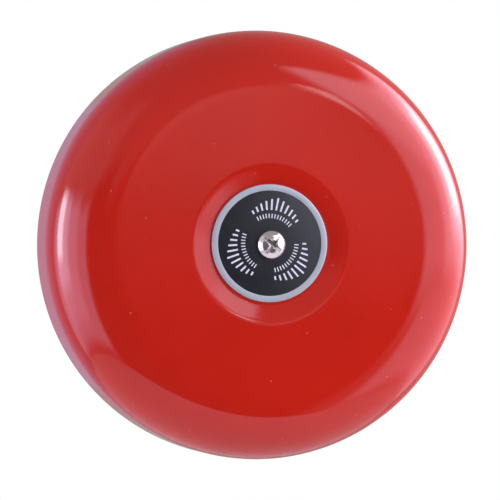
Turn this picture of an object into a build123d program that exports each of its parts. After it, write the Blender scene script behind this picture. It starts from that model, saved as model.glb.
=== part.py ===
from build123d import *
import math
import os

# Fire alarm bell with a 6 inch gong and a motor-driven striker.  Millimetres.
#
# Frame: the wall is the plane y = 0 and the bell faces -Y.  +Z is up.  The
# origin is where the gong's axis meets the wall.  "Front" is always the lower
# y value and "back" the higher one, so depths grow negative towards the room.

# ---- Gong ----------------------------------------------------------------
GONG_RADIUS = 75.0  # outside of the rim: the nominal 6 inch size
GONG_THICKNESS = 1.4
RIM_Y = -20.0  # open edge of the bowl
SKIRT_DRAFT = 0.6  # the skirt narrows by this much towards the front
FACE_OUTER_Y = -59.6  # where the flat face would meet the skirt
LIP_Y = -60.6  # top of the lip around the centre recess
LIP_RADIUS = 26.8
RECESS_DEPTH = 1.7
FLOOR_EDGE_RADIUS = 21.2
SHOULDER_FILLET = 22.0
LIP_FILLET = 8.0
FLOOR_FILLET = 2.0
GONG_HOLE_RADIUS = 4.0
FLOOR_Y = LIP_Y + RECESS_DEPTH  # front of the recess floor

# ---- Nameplate and centre screw --------------------------------------------
PLATE_RADIUS = 20.2
PLATE_THICKNESS = 1.2
PLATE_X = -0.35  # the plate hangs a little off centre on its screw
PLATE_Z = 0.5
PLATE_HOLE_RADIUS = 3.2
PRINT_RADIUS = 18.05
PRINT_THICKNESS = 0.25
PLATE_FRONT_Y = FLOOR_Y - PLATE_THICKNESS
GONG_SCREW_HEAD_RADIUS = 4.9
GONG_SCREW_HEAD_HEIGHT = 3.3
M5_RADIUS = 2.45
GONG_SCREW_LENGTH = 16.0
PLATE_CHAMFER = 0.35
SCREW_CLEARANCE = 0.15  # of the gong screw in the bush
FIT_GAP = 0.05  # clearance on the radius between parts that only slip together
BUSH_FLANGE_RADIUS = 9.0
BUSH_FLANGE_THICKNESS = 1.0

# ---- Base plate ------------------------------------------------------------
SHEET = 1.5
BASE_WIDTH = 100.0
BASE_CORNER = 12.0
BASE_FLANGE = 8.0
WALL_HOLE_PITCH = 76.0  # four corner holes for screws into a wall
WALL_HOLE_RADIUS = 2.5
BOX_HOLE_PITCH = 60.3  # two holes that fit a round conduit box
BOX_HOLE_RADIUS = 2.4
CABLE_X = -34.5
CABLE_Z = 18.0
CABLE_HOLE_RADIUS = 10.0
EARTH_X = 37.0
EARTH_Z = -16.0
EARTH_SPIGOT_RADIUS = 2.6
EARTH_STUD_RADIUS = 1.95
EARTH_STUD_FRONT_Y = -12.0
EARTH_WASHER_RADIUS = 4.5
EARTH_WASHER_THICKNESS = 0.8
EARTH_NUT_WIDTH = 7.0
EARTH_NUT_THICKNESS = 3.2
GROMMET_BORE_RADIUS = 4.0
GROMMET_NOSE_Y = -8.0
GROMMET_NOSE_RADIUS = 6.0
GROMMET_NOSE_BACK_RADIUS = 9.0
GROMMET_FLANGE_Y = -3.5
GROMMET_LIP = 2.0  # how far the flange laps over the cable hole's edge
THROUGH = 1.0  # how far a cutting tool runs past the face that it opens
STANDOFF_SPIGOT_RADIUS = 2.0

# ---- Cross recesses, as shares of the screw head's sizes ----------------------------
RECESS_SPAN = 1.1  # of the head's radius
RECESS_SLOT = 0.26  # width of one slot, of the span
RECESS_CORE = 0.30  # radius of the cone in the middle, of the span
RECESS_CORE_DEPTH = 1.25  # of the slots' depth
PAN_RECESS_DEPTH = 0.55  # of the head's height
PAN_ROUND = 0.62
FLAT_RECESS_DEPTH = 0.6

# ---- Centre pillar -----------------------------------------------------------
PILLAR_RADIUS = 6.0
PILLAR_FOOT_RADIUS = 8.0
PILLAR_FOOT_HEIGHT = 2.0
PILLAR_CHAMFER = 0.8
PILLAR_FRONT_Y = FLOOR_Y + GONG_THICKNESS + BUSH_FLANGE_THICKNESS
THREAD_DEPTH = 15.0

# ---- Motor -------------------------------------------------------------------
MOTOR_Z = -29.0  # height of the motor's shaft, which runs along Y at x = 0
MOTOR_RADIUS = 14.0
MOTOR_WALL = 1.0
MOTOR_FRONT_Y = -25.0
MOTOR_BACK_Y = -8.0
END_CAP_Y = -6.0
SHAFT_RADIUS = 1.0
SHAFT_FRONT_Y = -34.8
SHAFT_BACK_Y = -5.8
CAN_EDGE_ROUND = 0.9
BOSS_RADIUS = 4.0
BOSS_HEIGHT = 1.5
FRONT_BUSH_RADIUS = 3.0
REAR_BUSH_RADIUS = 2.5
REAR_BUSH_YS = (-8.5, -5.5)
END_BOSS_Y = -5.0
CAP_RADIUS = 12.7
PLUG_HEIGHT = 1.5
PLUG_WALL = 2.4
M25_RADIUS = 1.2
RUNNING_CLEARANCE = 0.03
CORE_RADIUS = 9.8
CORE_YS = (-21.5, -13.5)
CORE_BODY_RADIUS = 3.2
POLES = 3
POLE_HALF_WIDTH = 1.4
POLE_FIRST_ANGLE = 30.0
SHOE_THICKNESS = 1.6
SHOE_INNER = 5.6  # nearest distance of a pole shoe's sides to the shaft
COIL_SPAN = (3.7, 7.5)  # along the pole, from the shaft
COIL_HALF_WIDTH = 3.0
COIL_OVERHANG = 0.9  # of the coil beyond the core at the front and the back
COMMUTATOR_RADIUS = 2.5
COMMUTATOR_YS = (-12.2, -9.2)
MAGNET_INNER_RADIUS = 10.4
MAGNET_YS = (-22.5, -12.5)
MAGNET_REACH = 6.5  # height above the shaft where each magnet starts
TERMINAL_X = 5.0
TERMINAL_Z = MOTOR_Z + 8.5
TERMINAL_YS = (-7.2, -3.0)
TERMINAL_HALF_THICKNESS = 0.25
TERMINAL_HALF_WIDTH = 1.4
BRUSH_ARM_XS = (4.0, 4.3)
BRUSH_ARM_YS = (-12.0, -7.4)
BRUSH_ARM_HALF_WIDTH = 1.2
BRUSH_XS = (2.8, 4.0)
BRUSH_YS = (-11.6, -9.8)
BRUSH_HALF_WIDTH = 1.1
MOTOR_SCREW_X = 8.0

# ---- Chassis that carries the motor and the striker guide -----------------------
CHASSIS_SHEET = 1.2
CHASSIS_HALF_WIDTH = 22.0
CHASSIS_TOP_Z = -11.5
WEB_BOTTOM_Z = -44.0
LEG_ZS = (-43.0, -15.0)
FOOT_ZS = (-43.0, -22.0)
FOOT_INNER_X = 11.0
SHELF_HALF_WIDTH = 9.0
SHELF_FRONT_Y = -38.0
BOSS_HOLE_RADIUS = 4.2
MOTOR_SCREW_HOLE_RADIUS = 1.4
FOOT_HOLE_RADIUS = 1.6
COVER_TAPPED_RADIUS = 1.5
M3_RADIUS = 1.45
M3_NUT_WIDTH = 5.5
M3_NUT_THICKNESS = 2.4
WEB_FRONT_Y = MOTOR_FRONT_Y - CHASSIS_SHEET
FOOT_SCREW_X = 15.5
FOOT_SCREW_ZS = (-26.0, -38.0)

# ---- Rotor hub and kicker ------------------------------------------------------
HUB_RADIUS = 10.8
HUB_BOSS_RADIUS = 3.0
HUB_BACK_Y = -28.0
HUB_DISC_THICKNESS = 2.0
PIVOT_RADIUS = 8.0  # distance of the kicker's pin from the shaft
PIVOT_ANGLE = 45.0  # direction of that pin at rest, from +X towards +Z
PIN_RADIUS = 1.25
PIN_CLEARANCE = 0.05
KICKER_EYE_RADIUS = 2.6
KICKER_LOBE_RADIUS = 2.5
KICKER_REACH = 4.0  # from the pin to the middle of the lobe
KICKER_THICKNESS = 4.0
KICKER_GAP = 0.2
STOP_RADIUS = 0.9
STOP_LENGTH = 3.4
STOP_OUTWARD = 1.0  # the stop post stands this much further out than the pin
HUB_CHAMFER = 0.4
HUB_BOSS_FRONT_Y = -34.6
HUB_BOSS_BACK = 0.6
PIN_HEAD_RADIUS = 2.2
PIN_HEAD_THICKNESS = 0.7

# ---- Striker -------------------------------------------------------------------
STRIKER_Y = -32.5  # the plunger's axis runs straight down at this depth
STRIKER_HEAD_TOP_Z = -41.3
STRIKER_HEAD_RADIUS = 4.5
STRIKER_HEAD_HEIGHT = 1.7
STRIKER_RADIUS = 2.5
STRIKER_REST_GAP = 2.5  # from the tip to the inside of the gong
GUIDE_CLEARANCE = 0.05
GUIDE_TOP_Z = -50.0
GUIDE_FLANGE_RADIUS = 5.5
GUIDE_BODY_RADIUS = 4.0
GUIDE_BOTTOM_Z = -57.0
CLIP_Z = GUIDE_BOTTOM_Z - 1.05  # top of the retaining clip
CLIP_THICKNESS = 0.6
CLIP_RADIUS = 4.2
CLIP_HALF_GAP = 1.6
GROOVE_RADIUS = 2.0
TIP_RADIUS = 3.6
TIP_LENGTH = 5.6
TIP_ROUND = 2.6
TIP_SPIGOT_RADIUS = 1.6
TIP_SPIGOT_LENGTH = 3.2
HEAD_ROUND = 0.8
GUIDE_FLANGE_THICKNESS = 1.0
SPRING_WIRE_RADIUS = 0.3
SPRING_COIL_RADIUS = 3.35
SPRING_TURNS = 4

# ---- Mechanism cover -------------------------------------------------------------
COVER_WALL = 2.0
COVER_HALF_WIDTH = CHASSIS_HALF_WIDTH + COVER_WALL
COVER_TOP_Z = -8.5
COVER_BOTTOM_Z = -55.0
COVER_FRONT_Y = -40.0
COVER_BACK_Y = -1.7
COVER_SCREW_Y = -14.0
COVER_CORNER = 4.0
COVER_INNER_CORNER = 0.8
COVER_EDGE_ROUND = 1.5
COVER_HOLE_RADIUS = 1.6
COVER_GUIDE_GAP = 0.6
COVER_STEP_GAP = 0.3
LEAD_SLOT_HALF_WIDTH = 1.5
LEAD_SLOT_FRONT_Y = -8.5
LEAD_SLOT_DEPTH = 4.0

# ---- Circuit board and wiring -------------------------------------------------------
BOARD_HALF_WIDTH = 22.0
BOARD_LOW_Z = 13.0
BOARD_HIGH_Z = 43.0
BOARD_BACK_Y = -8.0
BOARD_THICKNESS = 1.6
BOARD_FRONT_Y = BOARD_BACK_Y - BOARD_THICKNESS
STANDOFF_X = 18.5
STANDOFF_ZS = (16.5, 39.5)
LEAD_RADIUS = 0.65
LEAD_X = 13.5
LEAD_PAD_Z = 18.5
LEAD_Y = -4.5  # depth of the leads behind the motor
LEAD_LOOP = 6.0  # how far a lead stands off the board before it bends down
LEAD_BELOW_BOARD = (4.5, 6.0)  # distance in front of the board, and height, where it turns back
LEAD_BEHIND_Z = -4.0  # height at which it has come behind the motor
LEAD_BENDS = [4.0, 8.0, 8.0, 4.0]
TERMINAL_WAYS = 4
TERMINAL_PITCH = 5.08
BLOCK_ZS = (32.0, 41.0)
BLOCK_HEIGHT = 10.0
BLOCK_STEP_Z = 39.5
BLOCK_STEP_HEIGHT = 7.0
WELL_Z = 36.0
WELL_RADIUS = 1.9
WELL_FLOOR_HEIGHT = 6.0
WIRE_ENTRY_HALF_WIDTH = 1.7
WIRE_ENTRY_HEIGHTS = (1.5, 5.0)
WIRE_ENTRY_Z = 38.0
CLAMP_RADIUS = 1.8
CLAMP_HEIGHT = 2.5
SLOT_HALF_WIDTH = 0.3
SLOT_DEPTH = 0.9
DIODE_X = -8.5
DIODE_Z = 27.0
DIODE_HEIGHT = 2.0
DIODE_RADIUS = 1.35
DIODE_LENGTH = 5.2
DIODE_LEG_X = 4.2
LEG_RADIUS = 0.35
CAPACITOR_X = 7.5
CAPACITOR_Z = 24.5
CAPACITOR_RADIUS = 4.0
CAPACITOR_HEIGHT = 11.5
CAPACITOR_ROUND = 0.6
SUPPRESSOR_X = -7.0
SUPPRESSOR_Z = 19.0
SUPPRESSOR_RADIUS = 4.0
SUPPRESSOR_THICKNESS = 2.2
SUPPRESSOR_HEIGHT = 6.0
SUPPRESSOR_LEG_X = 2.5
SUPPRESSOR_LEG_RADIUS = 0.4
BOARD_HOLE_RADIUS = 1.5
STANDOFF_WIDTH = 5.0
STANDOFF_TAP_Y = -3.5


# ---- Small helpers ---------------------------------------------------------------
def rod(radius, front, back, x=0.0, z=0.0):
    """Cylinder along Y from the front depth to the back depth."""
    middle = (front + back) / 2
    return Pos(x, middle, z) * Rot(90, 0, 0) * Cylinder(radius, back - front)


def cone(front_radius, back_radius, front, back, x=0.0, z=0.0):
    """Cone along Y with its own radius at each depth."""
    middle = (front + back) / 2
    return Pos(x, middle, z) * Rot(90, 0, 0) * Cone(back_radius, front_radius, back - front)


def post(radius, low, high, x=0.0, y=0.0):
    """Cylinder along Z from the low height to the high height."""
    return Pos(x, y, (low + high) / 2) * Cylinder(radius, high - low)


def block(x_range, y_range, z_range):
    """Box between three pairs of coordinates."""
    sides = [pair[1] - pair[0] for pair in (x_range, y_range, z_range)]
    middle = [sum(pair) / 2 for pair in (x_range, y_range, z_range)]
    return Pos(*middle) * Box(*sides)


def slab(sketch, front, back):
    """Sketch drawn in X and Z, made solid from the front depth to the back depth."""
    return extrude(Plane.XZ.offset(-back) * sketch, amount=back - front)


def hexagon(across_flats, front, back, x, z):
    """Six-sided bar along Y."""
    outline = Pos(x, z) * RegularPolygon(across_flats / 2, 6, major_radius=False)
    return slab(outline, front, back)


def mirrored(shape):
    """The shape and its mirror image across the middle plane x = 0."""
    return [shape, mirror(shape, about=Plane.YZ)]


def group(solids):
    """Separate solids kept together as one part."""
    return Compound(children=list(solids))


def cross_recess(size, depth, face, x, z):
    """Tool that cuts a cross recess into a screw head facing the front."""
    width = size * RECESS_SLOT
    wide = block((x - size / 2, x + size / 2), (face, face + depth), (z - width / 2, z + width / 2))
    tall = block((x - width / 2, x + width / 2), (face, face + depth), (z - size / 2, z + size / 2))
    core = cone(size * RECESS_CORE, 0.1, face, face + depth * RECESS_CORE_DEPTH, x, z)
    return wide + tall + core


def pan_screw(head_radius, head_height, shank_radius, length, seat, x=0.0, z=0.0):
    """Pan-head screw that seats at the given depth and points to the back."""
    crown = seat - head_height
    head = rod(head_radius, crown, seat, x, z)
    head = fillet(head.edges().sort_by(Axis.Y)[0], head_height * PAN_ROUND)
    depth = head_height * PAN_RECESS_DEPTH
    head -= cross_recess(head_radius * RECESS_SPAN, depth, crown, x, z)
    return head + rod(shank_radius, seat, seat + length, x, z)


def rear_screw_envelope(head_radius, head_height, shank_radius, length, x=0.0, z=0.0):
    """Countersunk screw flush with the wall side, pointing to the front, with no recess."""
    head = cone(shank_radius, head_radius, -head_height, 0.0, x, z)
    return head + rod(shank_radius, -length, -head_height, x, z)


def rear_screw(head_radius, head_height, shank_radius, length, x=0.0, z=0.0):
    """The same countersunk screw with a cross recess in its head."""
    size = head_radius * RECESS_SPAN
    depth = head_height * FLAT_RECESS_DEPTH
    width = size * RECESS_SLOT
    wide = block((x - size / 2, x + size / 2), (-depth, 0), (z - width / 2, z + width / 2))
    tall = block((x - width / 2, x + width / 2), (-depth, 0), (z - size / 2, z + size / 2))
    return rear_screw_envelope(head_radius, head_height, shank_radius, length, x, z) - wide - tall


# Countersunk screws, used both as parts and as the tools that cut their holes.
PILLAR_SCREW = dict(head_radius=4.6, head_height=2.6, shank_radius=M5_RADIUS, length=13.0)
CHASSIS_SCREW = dict(head_radius=2.8, head_height=1.4, shank_radius=M3_RADIUS, length=5.6)

# Pan-head screws.
COVER_SCREW = dict(head_radius=2.7, head_height=1.9, shank_radius=M3_RADIUS, length=5.2)
MOTOR_SCREW = dict(head_radius=2.2, head_height=1.2, shank_radius=M25_RADIUS, length=2.6)
BOARD_SCREW = dict(head_radius=2.3, head_height=1.6, shank_radius=M25_RADIUS, length=5.5)


def foot_screw_places():
    """Centres of the four screws that hold the chassis to the base plate."""
    return [(side * FOOT_SCREW_X, z) for side in (-1, 1) for z in FOOT_SCREW_ZS]


def standoff_places():
    """Centres of the four board standoffs."""
    return [(side * STANDOFF_X, z) for side in (-1, 1) for z in STANDOFF_ZS]


# ---- Gong group -------------------------------------------------------------------
def make_gong():
    """Pressed steel bowl, turned from one wall line and its parallel inside line."""
    outside = FilletPolyline(
        (GONG_HOLE_RADIUS, FLOOR_Y),
        (FLOOR_EDGE_RADIUS, FLOOR_Y),
        (LIP_RADIUS, LIP_Y),
        (GONG_RADIUS - SKIRT_DRAFT, FACE_OUTER_Y),
        (GONG_RADIUS, RIM_Y),
        radius=[FLOOR_FILLET, LIP_FILLET, SHOULDER_FILLET],
    )
    wall = offset(outside, amount=GONG_THICKNESS, side=Side.LEFT)
    return revolve(make_face(wall.edges()), Axis.Y)


def make_gong_bush():
    """Nylon bush that keeps the gong off the screw and the pillar."""
    neck_back = FLOOR_Y + GONG_THICKNESS
    neck = rod(GONG_HOLE_RADIUS - FIT_GAP, FLOOR_Y, neck_back)
    flange = rod(BUSH_FLANGE_RADIUS, neck_back, PILLAR_FRONT_Y)
    bore = rod(M5_RADIUS + SCREW_CLEARANCE, FLOOR_Y - THROUGH, PILLAR_FRONT_Y + THROUGH)
    return neck + flange - bore


def make_nameplate():
    """Bright metal disc with a shallow seat for its printed face."""
    plate = rod(PLATE_RADIUS, PLATE_FRONT_Y, FLOOR_Y, PLATE_X, PLATE_Z)
    plate = chamfer(plate.edges().sort_by(Axis.Y)[0], PLATE_CHAMFER)
    plate -= rod(PRINT_RADIUS, PLATE_FRONT_Y - 1, PLATE_FRONT_Y + PRINT_THICKNESS, PLATE_X, PLATE_Z)
    return plate - rod(PLATE_HOLE_RADIUS, PLATE_FRONT_Y - 1, FLOOR_Y + 1, PLATE_X, PLATE_Z)


def make_nameplate_face():
    """Printed disc that lies flush inside the plate's bright border."""
    face = rod(
        PRINT_RADIUS - FIT_GAP, PLATE_FRONT_Y, PLATE_FRONT_Y + PRINT_THICKNESS, PLATE_X, PLATE_Z
    )
    return face - rod(PLATE_HOLE_RADIUS, PLATE_FRONT_Y - 1, FLOOR_Y + 1, PLATE_X, PLATE_Z)


def make_gong_screw():
    """M5 pan-head screw through plate, gong and bush into the pillar."""
    return pan_screw(
        GONG_SCREW_HEAD_RADIUS,
        GONG_SCREW_HEAD_HEIGHT,
        M5_RADIUS,
        GONG_SCREW_LENGTH,
        PLATE_FRONT_Y,
    )


def make_centre_pillar():
    """Turned post with a foot on the base plate and a thread at each end."""
    pillar = rod(PILLAR_RADIUS, PILLAR_FRONT_Y, -SHEET)
    pillar = chamfer(pillar.edges().sort_by(Axis.Y)[0], PILLAR_CHAMFER)
    pillar += rod(PILLAR_FOOT_RADIUS, -SHEET - PILLAR_FOOT_HEIGHT, -SHEET)
    pillar -= rod(M5_RADIUS, PILLAR_FRONT_Y - 1, PILLAR_FRONT_Y + THREAD_DEPTH)
    return pillar - rear_screw_envelope(**PILLAR_SCREW)


# ---- Base group -------------------------------------------------------------------
def make_base_plate():
    """Pressed tray that sits on the wall, with its mounting and cable holes."""
    outline = RectangleRounded(BASE_WIDTH, BASE_WIDTH, BASE_CORNER)
    inner_width = BASE_WIDTH - 2 * SHEET
    inside = RectangleRounded(inner_width, inner_width, BASE_CORNER - SHEET)
    plate = slab(outline, -BASE_FLANGE, 0.0)
    plate -= slab(inside, -BASE_FLANGE - 1, -SHEET)
    half = WALL_HOLE_PITCH / 2
    for x in (-half, half):
        for z in (-half, half):
            plate -= rod(WALL_HOLE_RADIUS, -SHEET - 1, 1, x, z)
    for x in (-BOX_HOLE_PITCH / 2, BOX_HOLE_PITCH / 2):
        plate -= rod(BOX_HOLE_RADIUS, -SHEET - 1, 1, x, 0)
    plate -= rod(CABLE_HOLE_RADIUS, -SHEET - 1, 1, CABLE_X, CABLE_Z)
    plate -= rear_screw_envelope(**PILLAR_SCREW)
    for x, z in foot_screw_places():
        plate -= rear_screw_envelope(**CHASSIS_SCREW, x=x, z=z)
    for x, z in standoff_places():
        plate -= rod(STANDOFF_SPIGOT_RADIUS, -SHEET - 1, 1, x, z)
    return plate - rod(EARTH_SPIGOT_RADIUS, -SHEET - 1, 1, EARTH_X, EARTH_Z)


def make_cable_grommet():
    """Rubber cone for the supply cable, flush with the wall side of the plate."""
    nose = cone(
        GROMMET_NOSE_RADIUS,
        GROMMET_NOSE_BACK_RADIUS,
        GROMMET_NOSE_Y,
        GROMMET_FLANGE_Y,
        CABLE_X,
        CABLE_Z,
    )
    flange = rod(CABLE_HOLE_RADIUS + GROMMET_LIP, GROMMET_FLANGE_Y, -SHEET, CABLE_X, CABLE_Z)
    neck = rod(CABLE_HOLE_RADIUS - FIT_GAP, -SHEET, 0.0, CABLE_X, CABLE_Z)
    bore = rod(GROMMET_BORE_RADIUS, GROMMET_NOSE_Y - THROUGH, THROUGH, CABLE_X, CABLE_Z)
    return nose + flange + neck - bore


def make_earth_stud():
    """M4 stud pressed into the base plate."""
    spigot = rod(EARTH_SPIGOT_RADIUS, -SHEET, 0.0, EARTH_X, EARTH_Z)
    return spigot + rod(EARTH_STUD_RADIUS, EARTH_STUD_FRONT_Y, -SHEET, EARTH_X, EARTH_Z)


def make_earth_nut():
    """Hexagon nut and washer on the earth stud."""
    washer_front = -SHEET - EARTH_WASHER_THICKNESS
    nut_front = washer_front - EARTH_NUT_THICKNESS
    washer = rod(EARTH_WASHER_RADIUS, washer_front, -SHEET, EARTH_X, EARTH_Z)
    nut = hexagon(EARTH_NUT_WIDTH, nut_front, washer_front, EARTH_X, EARTH_Z)
    return washer + nut - rod(EARTH_STUD_RADIUS, nut_front - THROUGH, 0.0, EARTH_X, EARTH_Z)


# ---- Chassis group -----------------------------------------------------------------
def make_chassis():
    """Bent sheet frame: front web, two legs with feet, and a shelf for the guide."""
    web_y = (WEB_FRONT_Y, MOTOR_FRONT_Y)
    shelf_top = GUIDE_TOP_Z - GUIDE_FLANGE_THICKNESS
    shelf_z = (shelf_top - CHASSIS_SHEET, shelf_top)
    shelf_x = (-SHELF_HALF_WIDTH, SHELF_HALF_WIDTH)
    half = CHASSIS_HALF_WIDTH
    frame = block((-half, half), web_y, (WEB_BOTTOM_Z, CHASSIS_TOP_Z))
    frame += block(shelf_x, web_y, (shelf_z[0], WEB_BOTTOM_Z))
    frame += block(shelf_x, (SHELF_FRONT_Y, MOTOR_FRONT_Y), shelf_z)
    for side in (-1, 1):
        leg_x = sorted((side * half, side * (half - CHASSIS_SHEET)))
        foot_x = sorted((side * half, side * FOOT_INNER_X))
        frame += block(leg_x, (WEB_FRONT_Y, -SHEET), LEG_ZS)
        frame += block(foot_x, (-SHEET - CHASSIS_SHEET, -SHEET), FOOT_ZS)
    web_cut = (WEB_FRONT_Y - THROUGH, MOTOR_FRONT_Y + THROUGH)
    frame -= rod(BOSS_HOLE_RADIUS, *web_cut, 0, MOTOR_Z)
    for x in (-MOTOR_SCREW_X, MOTOR_SCREW_X):
        frame -= rod(MOTOR_SCREW_HOLE_RADIUS, *web_cut, x, MOTOR_Z)
    for x, z in foot_screw_places():
        frame -= rod(FOOT_HOLE_RADIUS, -SHEET - CHASSIS_SHEET - THROUGH, 0, x, z)
    frame -= post(GUIDE_BODY_RADIUS, shelf_z[0] - THROUGH, shelf_top + THROUGH, 0, STRIKER_Y)
    return frame - cover_screw_bore(COVER_TAPPED_RADIUS)


def cover_screw_bore(radius):
    """Tool that bores both cover screw holes at once, right across the bell."""
    across = Rot(0, 90, 0) * Cylinder(radius, 2 * COVER_HALF_WIDTH + 2 * THROUGH)
    return Pos(0, COVER_SCREW_Y, MOTOR_Z) * across


def make_chassis_screws():
    """Four countersunk screws from the wall side."""
    return group(rear_screw(**CHASSIS_SCREW, x=x, z=z) for x, z in foot_screw_places())


def make_chassis_nuts():
    """Four hexagon nuts on the chassis feet."""
    back = -SHEET - CHASSIS_SHEET
    return group(
        hexagon(M3_NUT_WIDTH, back - M3_NUT_THICKNESS, back, x, z)
        - rod(M3_RADIUS, back - M3_NUT_THICKNESS - THROUGH, 0, x, z)
        for x, z in foot_screw_places()
    )


def make_mechanism_cover():
    """Moulded box over the motor and kicker, open towards the wall."""
    height = COVER_TOP_Z - COVER_BOTTOM_Z
    middle_z = (COVER_TOP_Z + COVER_BOTTOM_Z) / 2
    outline = Pos(0, middle_z) * RectangleRounded(2 * COVER_HALF_WIDTH, height, COVER_CORNER)
    inside = Pos(0, middle_z) * RectangleRounded(
        2 * CHASSIS_HALF_WIDTH, height - 2 * COVER_WALL, COVER_INNER_CORNER
    )
    cover = slab(outline, COVER_FRONT_Y, COVER_BACK_Y)
    cover = fillet(cover.faces().sort_by(Axis.Y)[0].edges(), COVER_EDGE_ROUND)
    cover -= slab(inside, COVER_FRONT_Y + COVER_WALL, COVER_BACK_Y + THROUGH)
    floor_low = COVER_BOTTOM_Z - THROUGH
    floor_high = COVER_BOTTOM_Z + COVER_WALL + THROUGH
    cover -= post(GUIDE_BODY_RADIUS + COVER_GUIDE_GAP, floor_low, floor_high, 0, STRIKER_Y)
    cover -= cover_screw_bore(COVER_HOLE_RADIUS)
    slot_z = (COVER_TOP_Z - LEAD_SLOT_DEPTH, COVER_TOP_Z + THROUGH)
    for x in (-LEAD_X, LEAD_X):
        slot_x = (x - LEAD_SLOT_HALF_WIDTH, x + LEAD_SLOT_HALF_WIDTH)
        cover -= block(slot_x, (LEAD_SLOT_FRONT_Y, 0), slot_z)
    flange_inside = -(BASE_WIDTH / 2 - SHEET)
    step_x = (-COVER_HALF_WIDTH - THROUGH, COVER_HALF_WIDTH + THROUGH)
    step_y = (-BASE_FLANGE - COVER_STEP_GAP, THROUGH)
    return cover - block(step_x, step_y, (floor_low, flange_inside + COVER_STEP_GAP))


def make_cover_screws():
    """Two pan-head screws through the cover's sides into the chassis legs."""
    upright = pan_screw(seat=-COVER_HALF_WIDTH, **COVER_SCREW)
    placed = Pos(0, COVER_SCREW_Y, MOTOR_Z) * Rot(0, 0, -90) * upright
    return group(mirrored(placed))


# ---- Motor ---------------------------------------------------------------------------
def make_motor_can():
    """Drawn steel can with a bearing boss at the front."""
    boss_front = MOTOR_FRONT_Y - BOSS_HEIGHT
    floor_back = MOTOR_FRONT_Y + MOTOR_WALL
    can = rod(MOTOR_RADIUS, MOTOR_FRONT_Y, MOTOR_BACK_Y, 0, MOTOR_Z)
    can = fillet(can.edges().sort_by(Axis.Y)[0], CAN_EDGE_ROUND)
    can -= rod(MOTOR_RADIUS - MOTOR_WALL, floor_back, 0, 0, MOTOR_Z)
    can += rod(BOSS_RADIUS, boss_front, floor_back, 0, MOTOR_Z)
    can -= rod(FRONT_BUSH_RADIUS, boss_front - THROUGH, floor_back + THROUGH, 0, MOTOR_Z)
    for x in (-MOTOR_SCREW_X, MOTOR_SCREW_X):
        can -= rod(M25_RADIUS, boss_front, floor_back + THROUGH, x, MOTOR_Z)
    return can


def shaft_bore(front, back):
    """Tool that bores a hole in which the shaft turns freely."""
    return rod(SHAFT_RADIUS + RUNNING_CLEARANCE, front - THROUGH, back + THROUGH, 0, MOTOR_Z)


def make_motor_front_bush():
    """Sintered bush in the can's boss."""
    front, back = MOTOR_FRONT_Y - BOSS_HEIGHT, MOTOR_FRONT_Y + BOSS_HEIGHT
    return rod(FRONT_BUSH_RADIUS, front, back, 0, MOTOR_Z) - shaft_bore(front, back)


def terminal_tab(side):
    """One solder tab, rooted in the end cap."""
    x = side * TERMINAL_X
    return block(
        (x - TERMINAL_HALF_THICKNESS, x + TERMINAL_HALF_THICKNESS),
        TERMINAL_YS,
        (TERMINAL_Z - TERMINAL_HALF_WIDTH, TERMINAL_Z + TERMINAL_HALF_WIDTH),
    )


def side_block(side, x_range, y_range, half_height):
    """Block on one side of the shaft, as far above it as below."""
    x_pair = sorted(side * x for x in x_range)
    return block(x_pair, y_range, (MOTOR_Z - half_height, MOTOR_Z + half_height))


def brush_arm(side):
    """Leaf that presses one brush to the commutator."""
    return side_block(side, BRUSH_ARM_XS, BRUSH_ARM_YS, BRUSH_ARM_HALF_WIDTH)


def make_motor_end_cap():
    """Moulded cap that closes the can and carries the rear bush."""
    cap = rod(CAP_RADIUS, MOTOR_BACK_Y, END_CAP_Y, 0, MOTOR_Z)
    cap += plug_ring()
    cap += rod(BOSS_RADIUS, END_CAP_Y, END_BOSS_Y, 0, MOTOR_Z)
    cap -= rod(REAR_BUSH_RADIUS, BRUSH_ARM_YS[0], REAR_BUSH_YS[1], 0, MOTOR_Z)
    for side in (-1, 1):
        cap -= terminal_tab(side)
        cap -= brush_arm(side)
    return cap


def plug_ring():
    """Ring that plugs the end cap into the can."""
    outer = MOTOR_RADIUS - MOTOR_WALL
    front = MOTOR_BACK_Y - PLUG_HEIGHT
    ring = rod(outer, front, MOTOR_BACK_Y, 0, MOTOR_Z)
    return ring - rod(outer - PLUG_WALL, front - THROUGH, MOTOR_BACK_Y, 0, MOTOR_Z)


def make_motor_rear_bush():
    """Sintered bush in the end cap."""
    return rod(REAR_BUSH_RADIUS, *REAR_BUSH_YS, 0, MOTOR_Z) - shaft_bore(*REAR_BUSH_YS)


def make_motor_terminals():
    """Two solder tabs behind the end cap."""
    return group(terminal_tab(side) for side in (-1, 1))


def make_brush_arms():
    """Two bronze leaves in the end cap."""
    return group(brush_arm(side) for side in (-1, 1))


def make_brushes():
    """Two carbon blocks just clear of the commutator."""
    return group(side_block(side, BRUSH_XS, BRUSH_YS, BRUSH_HALF_WIDTH) for side in (-1, 1))


def make_motor_magnets():
    """Two ceramic arcs bonded inside the can, above and below the rotor."""
    front, back = MAGNET_YS
    outer = MOTOR_RADIUS - MOTOR_WALL
    ring = rod(outer, front, back, 0, MOTOR_Z)
    ring -= rod(MAGNET_INNER_RADIUS, front - THROUGH, back + THROUGH, 0, MOTOR_Z)
    across = (-MOTOR_RADIUS, MOTOR_RADIUS)
    upper = ring & block(across, MAGNET_YS, (MOTOR_Z + MAGNET_REACH, MOTOR_Z + MOTOR_RADIUS))
    lower = ring & block(across, MAGNET_YS, (MOTOR_Z - MOTOR_RADIUS, MOTOR_Z - MAGNET_REACH))
    return group([upper, lower])


def make_motor_screws():
    """Two M2.5 screws that hold the can to the chassis web."""
    return group(
        pan_screw(seat=WEB_FRONT_Y, x=side * MOTOR_SCREW_X, z=MOTOR_Z, **MOTOR_SCREW)
        for side in (-1, 1)
    )


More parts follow.
